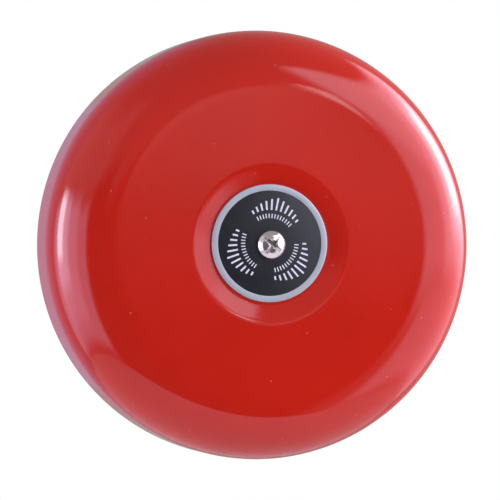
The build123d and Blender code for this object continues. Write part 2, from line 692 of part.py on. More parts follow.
# ---- Rotor ---------------------------------------------------------------------------
def about_shaft(shape, angle):
    """The shape turned about the motor's shaft by an angle in degrees."""
    return Pos(0, 0, MOTOR_Z) * Rot(0, -angle, 0) * Pos(0, 0, -MOTOR_Z) * shape


def make_motor_shaft():
    """Steel shaft through both bushes, the core and the hub."""
    return rod(SHAFT_RADIUS, SHAFT_FRONT_Y, SHAFT_BACK_Y, 0, MOTOR_Z)


def make_rotor_core():
    """Three-pole lamination stack."""
    core = rod(CORE_BODY_RADIUS, *CORE_YS, 0, MOTOR_Z)
    rim = rod(CORE_RADIUS, *CORE_YS, 0, MOTOR_Z)
    rim -= rod(CORE_RADIUS - SHOE_THICKNESS, *CORE_YS, 0, MOTOR_Z)
    for pole in range(POLES):
        arm = side_block(1, (0, CORE_RADIUS - 1.0), CORE_YS, POLE_HALF_WIDTH)
        shoe = rim & side_block(1, (SHOE_INNER, MOTOR_RADIUS), CORE_YS, MOTOR_RADIUS)
        core += about_shaft(arm + shoe, 360 / POLES * pole + POLE_FIRST_ANGLE)
    return core - rod(SHAFT_RADIUS, *MAGNET_YS, 0, MOTOR_Z)


def make_rotor_windings():
    """Three copper coils, one around each pole."""
    inner, outer = COIL_SPAN
    coil_y = (CORE_YS[0] - COIL_OVERHANG, CORE_YS[1] + COIL_OVERHANG)
    coils = []
    for pole in range(POLES):
        coil = side_block(1, COIL_SPAN, coil_y, COIL_HALF_WIDTH)
        coil -= side_block(1, (inner - THROUGH, outer + THROUGH), CORE_YS, POLE_HALF_WIDTH)
        coils.append(about_shaft(coil, 360 / POLES * pole + POLE_FIRST_ANGLE))
    return group(coils)


def make_commutator():
    """Three copper segments as one ring on the shaft."""
    front, back = COMMUTATOR_YS
    ring = rod(COMMUTATOR_RADIUS, front, back, 0, MOTOR_Z)
    return ring - rod(SHAFT_RADIUS, front - THROUGH, back + THROUGH, 0, MOTOR_Z)


def kicker_frame():
    """Place of the kicker's pin and the two directions of the hub at that pin."""
    angle = math.radians(PIVOT_ANGLE)
    outward = Vector(math.cos(angle), 0, math.sin(angle))
    ahead = Vector(-math.sin(angle), 0, math.cos(angle))
    return Vector(0, 0, MOTOR_Z) + outward * PIVOT_RADIUS, outward, ahead


def make_rotor_hub():
    """Disc pressed on the shaft, with the kicker's stop post."""
    pin, outward, ahead = kicker_frame()
    front = HUB_BACK_Y - HUB_DISC_THICKNESS
    hub = rod(HUB_RADIUS, front, HUB_BACK_Y, 0, MOTOR_Z)
    hub = chamfer(hub.edges(), HUB_CHAMFER)
    hub += rod(HUB_BOSS_RADIUS, HUB_BOSS_FRONT_Y, HUB_BACK_Y + HUB_BOSS_BACK, 0, MOTOR_Z)
    stop_ahead = KICKER_EYE_RADIUS + STOP_RADIUS + KICKER_GAP
    stop = pin + outward * STOP_OUTWARD + ahead * stop_ahead
    hub += rod(STOP_RADIUS, front - STOP_LENGTH, front, stop.X, stop.Z)
    hub -= rod(PIN_RADIUS, SHAFT_FRONT_Y, MOTOR_FRONT_Y, pin.X, pin.Z)
    return hub - rod(SHAFT_RADIUS, SHAFT_FRONT_Y, MOTOR_FRONT_Y, 0, MOTOR_Z)


def make_kicker_pin():
    """Headed pin riveted into the hub disc."""
    pin, _, _ = kicker_frame()
    head_back = HUB_BACK_Y - HUB_DISC_THICKNESS - KICKER_THICKNESS - 2 * KICKER_GAP
    shank = rod(PIN_RADIUS, head_back, HUB_BACK_Y, pin.X, pin.Z)
    head = rod(PIN_HEAD_RADIUS, head_back - PIN_HEAD_THICKNESS, head_back, pin.X, pin.Z)
    return shank + head


def make_kicker():
    """Loose pawl that hangs from its pin and is flung outwards when the hub spins."""
    pin, _, _ = kicker_frame()
    back = HUB_BACK_Y - HUB_DISC_THICKNESS - KICKER_GAP
    front = back - KICKER_THICKNESS
    lobe_z = pin.Z - KICKER_REACH
    pawl = rod(KICKER_EYE_RADIUS, front, back, pin.X, pin.Z)
    pawl += rod(KICKER_LOBE_RADIUS, front, back, pin.X, lobe_z)
    neck = KICKER_LOBE_RADIUS
    pawl += block((pin.X - neck, pin.X + neck), (front, back), (lobe_z, pin.Z))
    bore = rod(PIN_RADIUS + PIN_CLEARANCE, front - THROUGH, back + THROUGH, pin.X, pin.Z)
    return pawl - bore


# ---- Striker --------------------------------------------------------------------------
def gong_inside_radius():
    """Inside radius of the gong's skirt at the striker's depth."""
    share = (STRIKER_Y - RIM_Y) / (FACE_OUTER_Y - RIM_Y)
    return GONG_RADIUS - SKIRT_DRAFT * share - GONG_THICKNESS


TIP_END_Z = -(gong_inside_radius() - STRIKER_REST_GAP)
TIP_TOP_Z = TIP_END_Z + TIP_LENGTH


def make_striker_plunger():
    """Steel rod with a flat head above and a spigot for the tip below."""
    head_low = STRIKER_HEAD_TOP_Z - STRIKER_HEAD_HEIGHT
    plunger = post(STRIKER_HEAD_RADIUS, head_low, STRIKER_HEAD_TOP_Z, 0, STRIKER_Y)
    plunger = fillet(plunger.edges().sort_by(Axis.Z)[-1], HEAD_ROUND)
    plunger += post(STRIKER_RADIUS, TIP_TOP_Z, head_low, 0, STRIKER_Y)
    plunger += post(TIP_SPIGOT_RADIUS, TIP_TOP_Z - TIP_SPIGOT_LENGTH, TIP_TOP_Z, 0, STRIKER_Y)
    groove = post(CLIP_RADIUS, CLIP_Z - CLIP_THICKNESS, CLIP_Z, 0, STRIKER_Y)
    groove -= post(GROOVE_RADIUS, CLIP_Z - CLIP_THICKNESS, CLIP_Z, 0, STRIKER_Y)
    return plunger - groove


def make_striker_tip():
    """Hard nylon striking tip with a domed end."""
    tip = post(TIP_RADIUS, TIP_END_Z, TIP_TOP_Z, 0, STRIKER_Y)
    tip = fillet(tip.edges().sort_by(Axis.Z)[0], TIP_ROUND)
    socket_low = TIP_TOP_Z - TIP_SPIGOT_LENGTH
    return tip - post(TIP_SPIGOT_RADIUS, socket_low, TIP_TOP_Z + THROUGH, 0, STRIKER_Y)


def make_striker_clip():
    """Open retaining clip in the plunger's groove."""
    low, high = CLIP_Z - CLIP_THICKNESS, CLIP_Z
    clip = post(CLIP_RADIUS, low, high, 0, STRIKER_Y)
    clip -= post(GROOVE_RADIUS, low - THROUGH, high + THROUGH, 0, STRIKER_Y)
    mouth_y = (STRIKER_Y - CLIP_RADIUS - THROUGH, STRIKER_Y)
    return clip - block((-CLIP_HALF_GAP, CLIP_HALF_GAP), mouth_y, (low - THROUGH, high + THROUGH))


def make_striker_buffer():
    """Rubber washer that softens the plunger's return."""
    high = GUIDE_BOTTOM_Z - GUIDE_CLEARANCE
    ring = post(CLIP_RADIUS, CLIP_Z, high, 0, STRIKER_Y)
    return ring - post(STRIKER_RADIUS, CLIP_Z - THROUGH, high + THROUGH, 0, STRIKER_Y)


def make_guide_bush():
    """Flanged brass bush that the plunger slides in."""
    flange_low = GUIDE_TOP_Z - GUIDE_FLANGE_THICKNESS
    bush = post(GUIDE_FLANGE_RADIUS, flange_low, GUIDE_TOP_Z, 0, STRIKER_Y)
    bush += post(GUIDE_BODY_RADIUS, GUIDE_BOTTOM_Z, flange_low, 0, STRIKER_Y)
    low, high = GUIDE_BOTTOM_Z - THROUGH, GUIDE_TOP_Z + THROUGH
    return bush - post(STRIKER_RADIUS + GUIDE_CLEARANCE, low, high, 0, STRIKER_Y)


def make_striker_spring():
    """Return spring between the plunger's head and the guide bush."""
    end_gap = SPRING_WIRE_RADIUS + FIT_GAP
    low = GUIDE_TOP_Z + end_gap
    high = STRIKER_HEAD_TOP_Z - STRIKER_HEAD_HEIGHT - end_gap
    height = high - low
    path = Helix(pitch=height / SPRING_TURNS, height=height, radius=SPRING_COIL_RADIUS)
    section = Plane(origin=path @ 0, z_dir=path % 0) * Circle(SPRING_WIRE_RADIUS)
    return Pos(0, STRIKER_Y, low) * sweep(section, path=path, is_frenet=True)


# ---- Circuit board ---------------------------------------------------------------------
def make_circuit_board():
    """Glass-fibre board with holes for its four screws."""
    board = block(
        (-BOARD_HALF_WIDTH, BOARD_HALF_WIDTH),
        (BOARD_FRONT_Y, BOARD_BACK_Y),
        (BOARD_LOW_Z, BOARD_HIGH_Z),
    )
    for x, z in standoff_places():
        board -= rod(BOARD_HOLE_RADIUS, BOARD_FRONT_Y - THROUGH, BOARD_BACK_Y + THROUGH, x, z)
    return board


def make_board_standoffs():
    """Four tapped hexagon standoffs pressed into the base plate."""
    standoffs = []
    for x, z in standoff_places():
        body = hexagon(STANDOFF_WIDTH, BOARD_BACK_Y, -SHEET, x, z)
        body += rod(STANDOFF_SPIGOT_RADIUS, -SHEET, 0.0, x, z)
        standoffs.append(body - rod(M25_RADIUS, BOARD_BACK_Y - THROUGH, STANDOFF_TAP_Y, x, z))
    return group(standoffs)


def make_board_screws():
    """Four pan-head screws that hold the board."""
    return group(
        pan_screw(seat=BOARD_FRONT_Y, x=x, z=z, **BOARD_SCREW) for x, z in standoff_places()
    )


def terminal_xs():
    """Centres of the terminal block's ways."""
    return [(way - (TERMINAL_WAYS - 1) / 2) * TERMINAL_PITCH for way in range(TERMINAL_WAYS)]


def make_terminal_block():
    """Screw terminal block with a wire entry and a screw well for each way."""
    half = TERMINAL_WAYS * TERMINAL_PITCH / 2
    front = BOARD_FRONT_Y - BLOCK_HEIGHT
    body = block((-half, half), (front, BOARD_FRONT_Y), BLOCK_ZS)
    step_z = (BLOCK_STEP_Z, BLOCK_ZS[1] + THROUGH)
    step_y = (front - THROUGH, BOARD_FRONT_Y - BLOCK_STEP_HEIGHT)
    body -= block((-half - THROUGH, half + THROUGH), step_y, step_z)
    entry_y = sorted(BOARD_FRONT_Y - height for height in WIRE_ENTRY_HEIGHTS)
    for x in terminal_xs():
        entry_x = (x - WIRE_ENTRY_HALF_WIDTH, x + WIRE_ENTRY_HALF_WIDTH)
        body -= rod(WELL_RADIUS, front - THROUGH, BOARD_FRONT_Y - WELL_FLOOR_HEIGHT, x, WELL_Z)
        body -= block(entry_x, entry_y, (WIRE_ENTRY_Z, BLOCK_ZS[1] + THROUGH))
    return body


def make_terminal_screws():
    """One slotted clamp screw in each way."""
    back = BOARD_FRONT_Y - WELL_FLOOR_HEIGHT
    front = back - CLAMP_HEIGHT
    slot_z = (WELL_Z - CLAMP_RADIUS - THROUGH, WELL_Z + CLAMP_RADIUS + THROUGH)
    screws = []
    for x in terminal_xs():
        slot_x = (x - SLOT_HALF_WIDTH, x + SLOT_HALF_WIDTH)
        head = rod(CLAMP_RADIUS, front, back, x, WELL_Z)
        screws.append(head - block(slot_x, (front - THROUGH, front + SLOT_DEPTH), slot_z))
    return group(screws)


def make_diode():
    """Axial diode with its two bent legs."""
    axis_y = BOARD_FRONT_Y - DIODE_HEIGHT
    across = Rot(0, 90, 0)
    body = Pos(DIODE_X, axis_y, DIODE_Z) * across * Cylinder(DIODE_RADIUS, DIODE_LENGTH)
    for side in (-1, 1):
        leg_x = DIODE_X + side * DIODE_LEG_X
        body += rod(LEG_RADIUS, axis_y - LEG_RADIUS, BOARD_FRONT_Y, leg_x, DIODE_Z)
        low, high = sorted((DIODE_X + side * DIODE_LENGTH / 2, leg_x + side * LEG_RADIUS))
        wire = across * Cylinder(LEG_RADIUS, high - low)
        body += Pos((low + high) / 2, axis_y, DIODE_Z) * wire
    return body


def make_capacitor():
    """Upright electrolytic capacitor."""
    front = BOARD_FRONT_Y - CAPACITOR_HEIGHT
    can = rod(CAPACITOR_RADIUS, front, BOARD_FRONT_Y, CAPACITOR_X, CAPACITOR_Z)
    return fillet(can.edges().sort_by(Axis.Y)[0], CAPACITOR_ROUND)


def make_suppressor():
    """Disc suppressor that stands on two legs across the motor supply."""
    middle_y = BOARD_FRONT_Y - SUPPRESSOR_HEIGHT
    disc = Cylinder(SUPPRESSOR_RADIUS, SUPPRESSOR_THICKNESS)
    disc = Pos(SUPPRESSOR_X, middle_y, SUPPRESSOR_Z) * disc
    leg_front = middle_y + SUPPRESSOR_RADIUS / 2
    for side in (-1, 1):
        x = SUPPRESSOR_X + side * SUPPRESSOR_LEG_X
        disc += rod(SUPPRESSOR_LEG_RADIUS, leg_front, BOARD_FRONT_Y, x, SUPPRESSOR_Z)
    return disc


def make_lead(side):
    """One motor lead, from its pad on the board to the motor's solder tab."""
    x = side * LEAD_X
    tab_face = side * (TERMINAL_X + TERMINAL_HALF_THICKNESS)
    below_gap, below_z = LEAD_BELOW_BOARD
    route = FilletPolyline(
        (x, BOARD_FRONT_Y, LEAD_PAD_Z),
        (x, BOARD_FRONT_Y - LEAD_LOOP, LEAD_PAD_Z),
        (x, BOARD_FRONT_Y - below_gap, below_z),
        (x, LEAD_Y, LEAD_BEHIND_Z),
        (x, LEAD_Y, TERMINAL_Z),
        (tab_face, LEAD_Y, TERMINAL_Z),
        radius=LEAD_BENDS,
    )
    section = Plane(origin=route @ 0, z_dir=route % 0) * Circle(LEAD_RADIUS)
    lead = sweep(section, path=route)
    expected = math.pi * LEAD_RADIUS**2 * route.length
    print(f"lead on side {side:+d}: volume {lead.volume:.2f}, section times length {expected:.2f}")
    return lead


PARTS = {
    "gong": make_gong,
    "gong_bush": make_gong_bush,
    "nameplate": make_nameplate,
    "nameplate_face": make_nameplate_face,
    "gong_screw": make_gong_screw,
    "centre_pillar": make_centre_pillar,
    "pillar_screw": lambda: rear_screw(**PILLAR_SCREW),
    "base_plate": make_base_plate,
    "cable_grommet": make_cable_grommet,
    "earth_stud": make_earth_stud,
    "earth_nut": make_earth_nut,
    "chassis": make_chassis,
    "chassis_screws": make_chassis_screws,
    "chassis_nuts": make_chassis_nuts,
    "mechanism_cover": make_mechanism_cover,
    "cover_screws": make_cover_screws,
    "motor_can": make_motor_can,
    "motor_front_bush": make_motor_front_bush,
    "motor_end_cap": make_motor_end_cap,
    "motor_rear_bush": make_motor_rear_bush,
    "motor_terminals": make_motor_terminals,
    "brush_arms": make_brush_arms,
    "brushes": make_brushes,
    "motor_magnets": make_motor_magnets,
    "motor_screws": make_motor_screws,
    "motor_shaft": make_motor_shaft,
    "rotor_core": make_rotor_core,
    "rotor_windings": make_rotor_windings,
    "commutator": make_commutator,
    "rotor_hub": make_rotor_hub,
    "kicker_pin": make_kicker_pin,
    "kicker": make_kicker,
    "striker_plunger": make_striker_plunger,
    "striker_tip": make_striker_tip,
    "striker_clip": make_striker_clip,
    "striker_buffer": make_striker_buffer,
    "guide_bush": make_guide_bush,
    "striker_spring": make_striker_spring,
    "circuit_board": make_circuit_board,
    "board_standoffs": make_board_standoffs,
    "board_screws": make_board_screws,
    "terminal_block": make_terminal_block,
    "terminal_screws": make_terminal_screws,
    "diode": make_diode,
    "capacitor": make_capacitor,
    "suppressor": make_suppressor,
    "lead_red": lambda: make_lead(1),
    "lead_black": lambda: make_lead(-1),
}

os.makedirs("parts", exist_ok=True)
for name, make in PARTS.items():
    export_step(make(), f"parts/{name}.step")
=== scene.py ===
import logging
import math
from collections.abc import Callable, Iterable, Sequence
from dataclasses import dataclass
from enum import Enum
from functools import partial
from typing import ClassVar

import bmesh
import bpy
from mathutils import Matrix, Vector


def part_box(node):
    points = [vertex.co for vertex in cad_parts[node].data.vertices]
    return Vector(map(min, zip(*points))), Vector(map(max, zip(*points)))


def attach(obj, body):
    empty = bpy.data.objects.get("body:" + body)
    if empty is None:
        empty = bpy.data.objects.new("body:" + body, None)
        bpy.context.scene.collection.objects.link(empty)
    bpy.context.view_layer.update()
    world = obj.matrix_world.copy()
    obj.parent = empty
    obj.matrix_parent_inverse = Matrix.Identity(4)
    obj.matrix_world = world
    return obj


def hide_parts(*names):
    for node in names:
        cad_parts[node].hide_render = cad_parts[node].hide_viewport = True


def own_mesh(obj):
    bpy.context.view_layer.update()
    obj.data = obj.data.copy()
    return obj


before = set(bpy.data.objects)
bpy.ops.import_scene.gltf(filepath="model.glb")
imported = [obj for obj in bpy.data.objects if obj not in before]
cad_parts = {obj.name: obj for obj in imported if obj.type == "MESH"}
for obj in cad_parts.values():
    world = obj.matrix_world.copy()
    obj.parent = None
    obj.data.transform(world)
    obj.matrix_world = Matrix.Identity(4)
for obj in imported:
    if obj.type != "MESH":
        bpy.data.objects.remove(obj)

# Looks of a wall-mounted fire alarm bell: a red enamelled gong with a round nameplate, carried on
# a pillar in front of a pressed base plate with its motor, kicker, striker and terminals.
# The wall is y = 0, the bell faces -Y and +Z is up.  Everything is in metres; MM turns a
# millimetre into one.

MM = 0.001
LOG = logging.getLogger("fire_alarm_bell")
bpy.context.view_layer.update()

Colour = tuple[float, float, float, float]
Point = tuple[float, float]
Triple = tuple[float, float, float]
Mesh = bpy.types.Mesh
Socket = bpy.types.NodeSocket
Tree = bpy.types.NodeTree


# ---- Nodes and colours ------------------------------------------------------------------
def linear(code: str) -> Colour:
    """Turns an sRGB hex colour into linear light.

    Args:
        code: Six hex digits, with or without a leading #.

    Returns:
        Red, green, blue and an alpha of 1.
    """
    digits = code.lstrip("#")
    parts = [int(digits[i:i + 2], 16) / 255 for i in (0, 2, 4)]
    light = [p / 12.92 if p <= 0.04045 else ((p + 0.055) / 1.055) ** 2.4 for p in parts]
    return (light[0], light[1], light[2], 1.0)


def add_node(
    tree: Tree,
    kind: str,
    settings: dict[str | int, object] | None = None,
    links: dict[str | int, Socket] | None = None,
) -> bpy.types.Node:
    """Adds one node to a tree with its settings and links.

    Args:
        tree: The tree that gets the node.
        kind: The node's type name.
        settings: Values by name; lower-case names are properties, all others are inputs.
        links: Output sockets by the name or number of the input that they feed.

    Returns:
        The new node.
    """
    node = tree.nodes.new(kind)
    for key, value in (settings or {}).items():
        if isinstance(key, str) and key.islower():
            setattr(node, key, value)
        else:
            node.inputs[key].default_value = value
    for key, socket in (links or {}).items():
        tree.links.new(socket, node.inputs[key])
    return node


def calc(tree: Tree, operation: str, first: object, second: object = 0.0) -> Socket:
    """Adds one sum of two numbers or sockets.

    Args:
        tree: The tree that gets the node.
        operation: The sum's name.
        first: First number or socket.
        second: Second number or socket.

    Returns:
        The result.
    """
    settings: dict[str | int, object] = {"operation": operation}
    links: dict[str | int, Socket] = {}
    for place, term in enumerate((first, second)):
        (links if isinstance(term, Socket) else settings)[place] = term
    return add_node(tree, "ShaderNodeMath", settings, links).outputs["Value"]


def vector_calc(tree: Tree, operation: str, first: Socket, second: object = (0, 0, 0)) -> Socket:
    """Adds one sum of a vector socket and a second vector or socket.

    Args:
        tree: The tree that gets the node.
        operation: The sum's name.
        first: First vector.
        second: Second vector or socket.

    Returns:
        The result, which is a number for LENGTH.
    """
    settings: dict[str | int, object] = {"operation": operation}
    links: dict[str | int, Socket] = {0: first}
    (links if isinstance(second, Socket) else settings)[1] = second
    node = add_node(tree, "ShaderNodeVectorMath", settings, links)
    return node.outputs["Value" if operation == "LENGTH" else "Vector"]


def combine(tree: Tree, **sides: Socket) -> Socket:
    """Adds a vector put together from its X, Y and Z sides."""
    return add_node(tree, "ShaderNodeCombineXYZ", links=sides).outputs["Vector"]


def noise(
    tree: Tree, place: Socket, scale: float, detail: float, roughness: float = 0.5
) -> Socket:
    """Adds smooth noise.

    Args:
        tree: The tree that gets the node.
        place: The position on the piece.
        scale: Lumps in a metre.
        detail: How many finer layers it has.
        roughness: Strength of each finer layer.

    Returns:
        A value from 0 to 1.
    """
    settings = {"Scale": scale, "Detail": detail, "Roughness": roughness}
    return add_node(tree, "ShaderNodeTexNoise", settings, {"Vector": place}).outputs["Fac"]


def cells(tree: Tree, place: Socket, size_mm: float) -> bpy.types.Node:
    """Adds a pattern of cells about size_mm wide."""
    return add_node(tree, "ShaderNodeTexVoronoi", {"Scale": 1 / (size_mm * MM)}, {"Vector": place})


def spread(tree: Tree, value: Socket, given: Point, wanted: Point, kind: str = "LINEAR") -> Socket:
    """Adds a map from one range onto another, held at its ends.

    Args:
        tree: The tree that gets the node.
        value: The value to map.
        given: The range that it comes in.
        wanted: The range that it goes to.
        kind: How it runs between the ends.

    Returns:
        The mapped value.
    """
    settings = {
        "interpolation_type": kind,
        "From Min": given[0], "From Max": given[1], "To Min": wanted[0], "To Max": wanted[1],
    }
    return add_node(tree, "ShaderNodeMapRange", settings, {"Value": value}).outputs["Result"]


def bump(tree: Tree, height: Socket, depth_mm: float) -> Socket:
    """Adds relief from a height of 0 to 1 that stands for depth_mm, and returns its normal."""
    settings = {"Strength": 1.0, "Distance": depth_mm * MM}
    return add_node(tree, "ShaderNodeBump", settings, {"Height": height}).outputs["Normal"]


def lay_over(tree: Tree, share: Socket, under: Socket, over: Colour) -> Socket:
    """Adds a colour laid over another by a share, and returns the mix.

    The Mix node names its inputs alike for every kind of data: 6 and 7 are its two colours,
    and output 2 is the mixed one.
    """
    links = {"Factor": share, 6: under}
    return add_node(tree, "ShaderNodeMix", {"data_type": "RGBA", 7: over}, links).outputs[2]


# ---- Finishes -----------------------------------------------------------------------------
@dataclass(frozen=True)
class Finish:
    """A surface finish: colour and gloss with the unevenness that its making leaves.

    Lengths are in real millimetres.  The mottle is a slow change of colour and gloss; the
    grain is the fine relief.
    """

    name: str
    colour: str
    roughness: float
    metallic: float = 0.0
    ior: float = 1.5
    coat: float = 0.0
    coat_roughness: float = 0.03
    mottle_mm: float = 6.0
    mottle: float = 0.10
    gloss_change: float = 0.05
    grain_mm: float = 0.5
    grain_depth_mm: float = 0.010
    stretch: Triple = (1.0, 1.0, 1.0)

    def build(self) -> bpy.types.Material:
        """Makes the node material.

        Returns:
            The material, ready to be set on a piece.
        """
        material = bpy.data.materials.new(self.name)
        material.use_nodes = True
        tree = material.node_tree
        tree.nodes.clear()
        shader = add_node(
            tree,
            "ShaderNodeBsdfPrincipled",
            {
                "Metallic": self.metallic,
                "IOR": self.ior,
                "Coat Weight": self.coat,
                "Coat Roughness": self.coat_roughness,
            },
        )
        coordinates = add_node(tree, "ShaderNodeTexCoord").outputs["Object"]
        place = add_node(
            tree, "ShaderNodeMapping", {"Scale": self.stretch}, {"Vector": coordinates}
        ).outputs["Vector"]
        tree.links.new(self.paint(tree, place), shader.inputs["Base Color"])
        tree.links.new(self.gloss(tree, place), shader.inputs["Roughness"])
        relief = self.relief(tree, place)
        tree.links.new(relief, shader.inputs["Normal"])
        tree.links.new(relief, shader.inputs["Coat Normal"])
        add_node(tree, "ShaderNodeOutputMaterial", links={"Surface": shader.outputs["BSDF"]})
        material.diffuse_color = linear(self.colour)
        return material

    def paint(self, tree: Tree, place: Socket) -> Socket:
        """Base colour: the finish's colour, drifting a little darker and lighter.

        Args:
            tree: The material's tree.
            place: The position on the piece.

        Returns:
            The colour.
        """
        drift = noise(tree, place, 1 / (self.mottle_mm * MM), 3.0)
        base = linear(self.colour)[:3]
        dark = [c * (1 - self.mottle) for c in base]
        light = [min(1.0, c * (1 + self.mottle) + 0.01 * self.mottle) for c in base]
        ramp = add_node(tree, "ShaderNodeValToRGB", links={"Fac": drift})
        for stop, position, colour in zip(ramp.color_ramp.elements, (0.35, 0.65), (dark, light)):
            stop.position = position
            stop.color = (*colour, 1.0)
        return ramp.outputs["Color"]

    def gloss(self, tree: Tree, place: Socket) -> Socket:
        """Roughness: the finish's value with slow patches of more and less shine.

        Args:
            tree: The material's tree.
            place: The position on the piece.

        Returns:
            The roughness.
        """
        patches = noise(tree, place, 0.6 / (self.mottle_mm * MM), 4.0)
        return spread(tree, patches, (0.3, 0.7), self.gloss_range(0.02))

    def gloss_range(self, least: float) -> Point:
        """Lowest and highest roughness, no lower than least."""
        return (
            max(least, self.roughness - self.gloss_change),
            min(1.0, self.roughness + self.gloss_change),
        )

    def height(self, tree: Tree, place: Socket) -> Socket:
        """Height of the fine grain.

        Args:
            tree: The material's tree.
            place: The position on the piece.

        Returns:
            The height, from 0 to 1.
        """
        return noise(tree, place, 1 / (self.grain_mm * MM), 2.0)

    def relief(self, tree: Tree, place: Socket) -> Socket:
        """Normal of the fine grain.

        Args:
            tree: The material's tree.
            place: The position on the piece.

        Returns:
            The normal.
        """
        return bump(tree, self.height(tree, place), self.grain_depth_mm)


@dataclass(frozen=True)
class GlossEnamel(Finish):
    """Sprayed and baked gloss enamel: orange peel, dust nibs and a few hairline scratches."""

    speck_mm: float = 6.5
    speck_share: float = 0.055
    speck_colour: str = "#d98a84"
    scratch_mm: float = 9.0
    peel_mm: float = 1.6

    def paint(self, tree: Tree, place: Socket) -> Socket:
        """Enamel colour with pale dust nibs and hairlines in it; takes what Finish.paint takes."""
        plain = super().paint(tree, place)
        specks = cells(tree, place, self.speck_mm).outputs["Distance"]
        nib = spread(tree, specks, (self.speck_share * 0.35, self.speck_share), (0.45, 0.0))
        marks = calc(tree, "MAXIMUM", nib, self.hairlines(tree, place))
        return lay_over(tree, marks, plain, linear(self.speck_colour))

    def hairlines(self, tree: Tree, place: Socket) -> Socket:
        """Share of hairline scratch at a point: thin, long and sparse.

        Args:
            tree: The material's tree.
            place: The position on the piece.

        Returns:
            A value from 0 to 0.4.
        """
        turned = add_node(
            tree,
            "ShaderNodeMapping",
            {"Rotation": (0.0, math.radians(-38), 0.0), "Scale": (1.0, 1.0, 0.10)},
            {"Vector": place},
        )
        lines = cells(tree, turned.outputs["Vector"], self.scratch_mm).outputs["Distance"]
        return spread(tree, lines, (0.006, 0.018), (0.40, 0.0))

    def height(self, tree: Tree, place: Socket) -> Socket:
        """Orange peel: ripples a millimetre or two across; takes what Finish.height takes."""
        return noise(tree, place, 1 / (self.peel_mm * MM), 1.0, 0.35)


class Lay(Enum):
    """Direction in which a tool has run over a metal."""

    RINGS_ABOUT_Y = "rings about the bell's axis"
    RINGS_ABOUT_Z = "rings about an upright axis"
    ALONG_Z = "straight up and down"


@dataclass(frozen=True)
class ToolMarked(Finish):
    """Metal with fine tool marks: turned in rings about a centre, or brushed straight."""

    lay: Lay = Lay.RINGS_ABOUT_Y
    centre: Triple = (0.0, 0.0, 0.0)
    mark_mm: float = 0.12
    mark_depth_mm: float = 0.004

    def height(self, tree: Tree, place: Socket) -> Socket:
        """Tool marks that follow the lay; takes what Finish.height takes."""
        keep = (1.0, 0.0, 1.0) if self.lay is Lay.RINGS_ABOUT_Y else (1.0, 1.0, 0.0)
        from_centre = vector_calc(tree, "SUBTRACT", place, self.centre)
        across = vector_calc(tree, "MULTIPLY", from_centre, keep)
        if self.lay is not Lay.ALONG_Z:
            across = combine(tree, X=vector_calc(tree, "LENGTH", across))
        return noise(tree, across, 1 / (self.mark_mm * MM), 2.0)

    def relief(self, tree: Tree, place: Socket) -> Socket:
        """Normal of the tool marks; takes what Finish.relief takes."""
        return bump(tree, self.height(tree, place), self.mark_depth_mm)


@dataclass(frozen=True)
class Banded(Finish):
    """Something laid up in even bands along one axis, such as laminations or wound wire."""

    pitch_mm: float = 0.5
    band_depth_mm: float = 0.06
    direction: str = "Y"

    def relief(self, tree: Tree, place: Socket) -> Socket:
        """Normal of the bands; takes what Finish.relief takes."""
        settings = {
            "wave_type": "BANDS",
            "bands_direction": self.direction,
            "Scale": 0.314 / (self.pitch_mm * MM),  # at scale 1 the bands repeat every pi / 10
            "Distortion": 0.3,
        }
        waves = add_node(tree, "ShaderNodeTexWave", settings, {"Vector": place})
        return bump(tree, waves.outputs["Fac"], self.band_depth_mm)


@dataclass(frozen=True)
class Spangled(Finish):
    """Zinc plate: faint crystals that change the gloss from patch to patch."""

    crystal_mm: float = 1.4

    def gloss(self, tree: Tree, place: Socket) -> Socket:
        """Roughness that steps from crystal to crystal; takes what Finish.gloss takes."""
        crystals = cells(tree, place, self.crystal_mm).outputs["Color"]
        return spread(tree, crystals, (0.0, 1.0), self.gloss_range(0.05))


# Gloss red enamel, sprayed and baked: wet-looking, with soft orange peel under sharp reflections.
RED_ENAMEL = GlossEnamel(
    "gloss_red_enamel", "#b0180b", 0.07, mottle_mm=30.0, mottle=0.03, gloss_change=0.02,
)
# The same red inside the bowl, where only overspray lands: thinner, duller and grainy.
RED_OVERSPRAY = Finish(
    "red_enamel_overspray", "#9c1a12", 0.52, mottle_mm=12.0, mottle=0.20, grain_mm=0.35,
    grain_depth_mm=0.03,
)
# Red powder coat on the base plate: even satin with a fine pebble.
RED_POWDER = Finish(
    "red_powder_coat", "#a81c14", 0.38, coat=0.25, coat_roughness=0.25, mottle_mm=15.0,
    mottle=0.06, grain_mm=0.8, grain_depth_mm=0.018,
)
# Rolled aluminium with a satin anodised skin: cool silver, faint rings from polishing.
SATIN_ALUMINIUM = ToolMarked(
    "satin_anodised_aluminium", "#b4b8c2", 0.36, metallic=0.55, mottle=0.03, mark_mm=0.10,
    mark_depth_mm=0.0012,
)
# Screen-printed black on the plate: near-black blue with a soft sheen.
BLACK_PRINT = Finish(
    "black_screen_print", "#15151d", 0.40, mottle_mm=3.0, mottle=0.14, grain_mm=0.30,
    grain_depth_mm=0.003,
)
# Bare metal left open in the print: pale lilac grey, thin and slightly broken.
PALE_PRINT = Finish(
    "pale_print", "#cfcfdd", 0.40, metallic=0.2, mottle_mm=0.8, mottle=0.12, grain_mm=0.2,
    grain_depth_mm=0.004,
)
# Bright nickel plate on the screw: near-mirror with light wear.
BRIGHT_NICKEL = ToolMarked(
    "bright_nickel_plate", "#dcd3d6", 0.14, metallic=1.0, mottle=0.05, mark_mm=0.25,
    mark_depth_mm=0.0015,
)
# The same plate inside the cross recess, dulled by the driver; its darker grey colour is painted
# shade in the recess: dark grey lobes.
RECESS_NICKEL_PAINTED_SHADE = Finish(
    "nickel_recess_painted_shade", "#7d7276", 0.34, metallic=0.9, mottle_mm=0.8, mottle=0.35,
    gloss_change=0.12, grain_mm=0.12, grain_depth_mm=0.012,
)
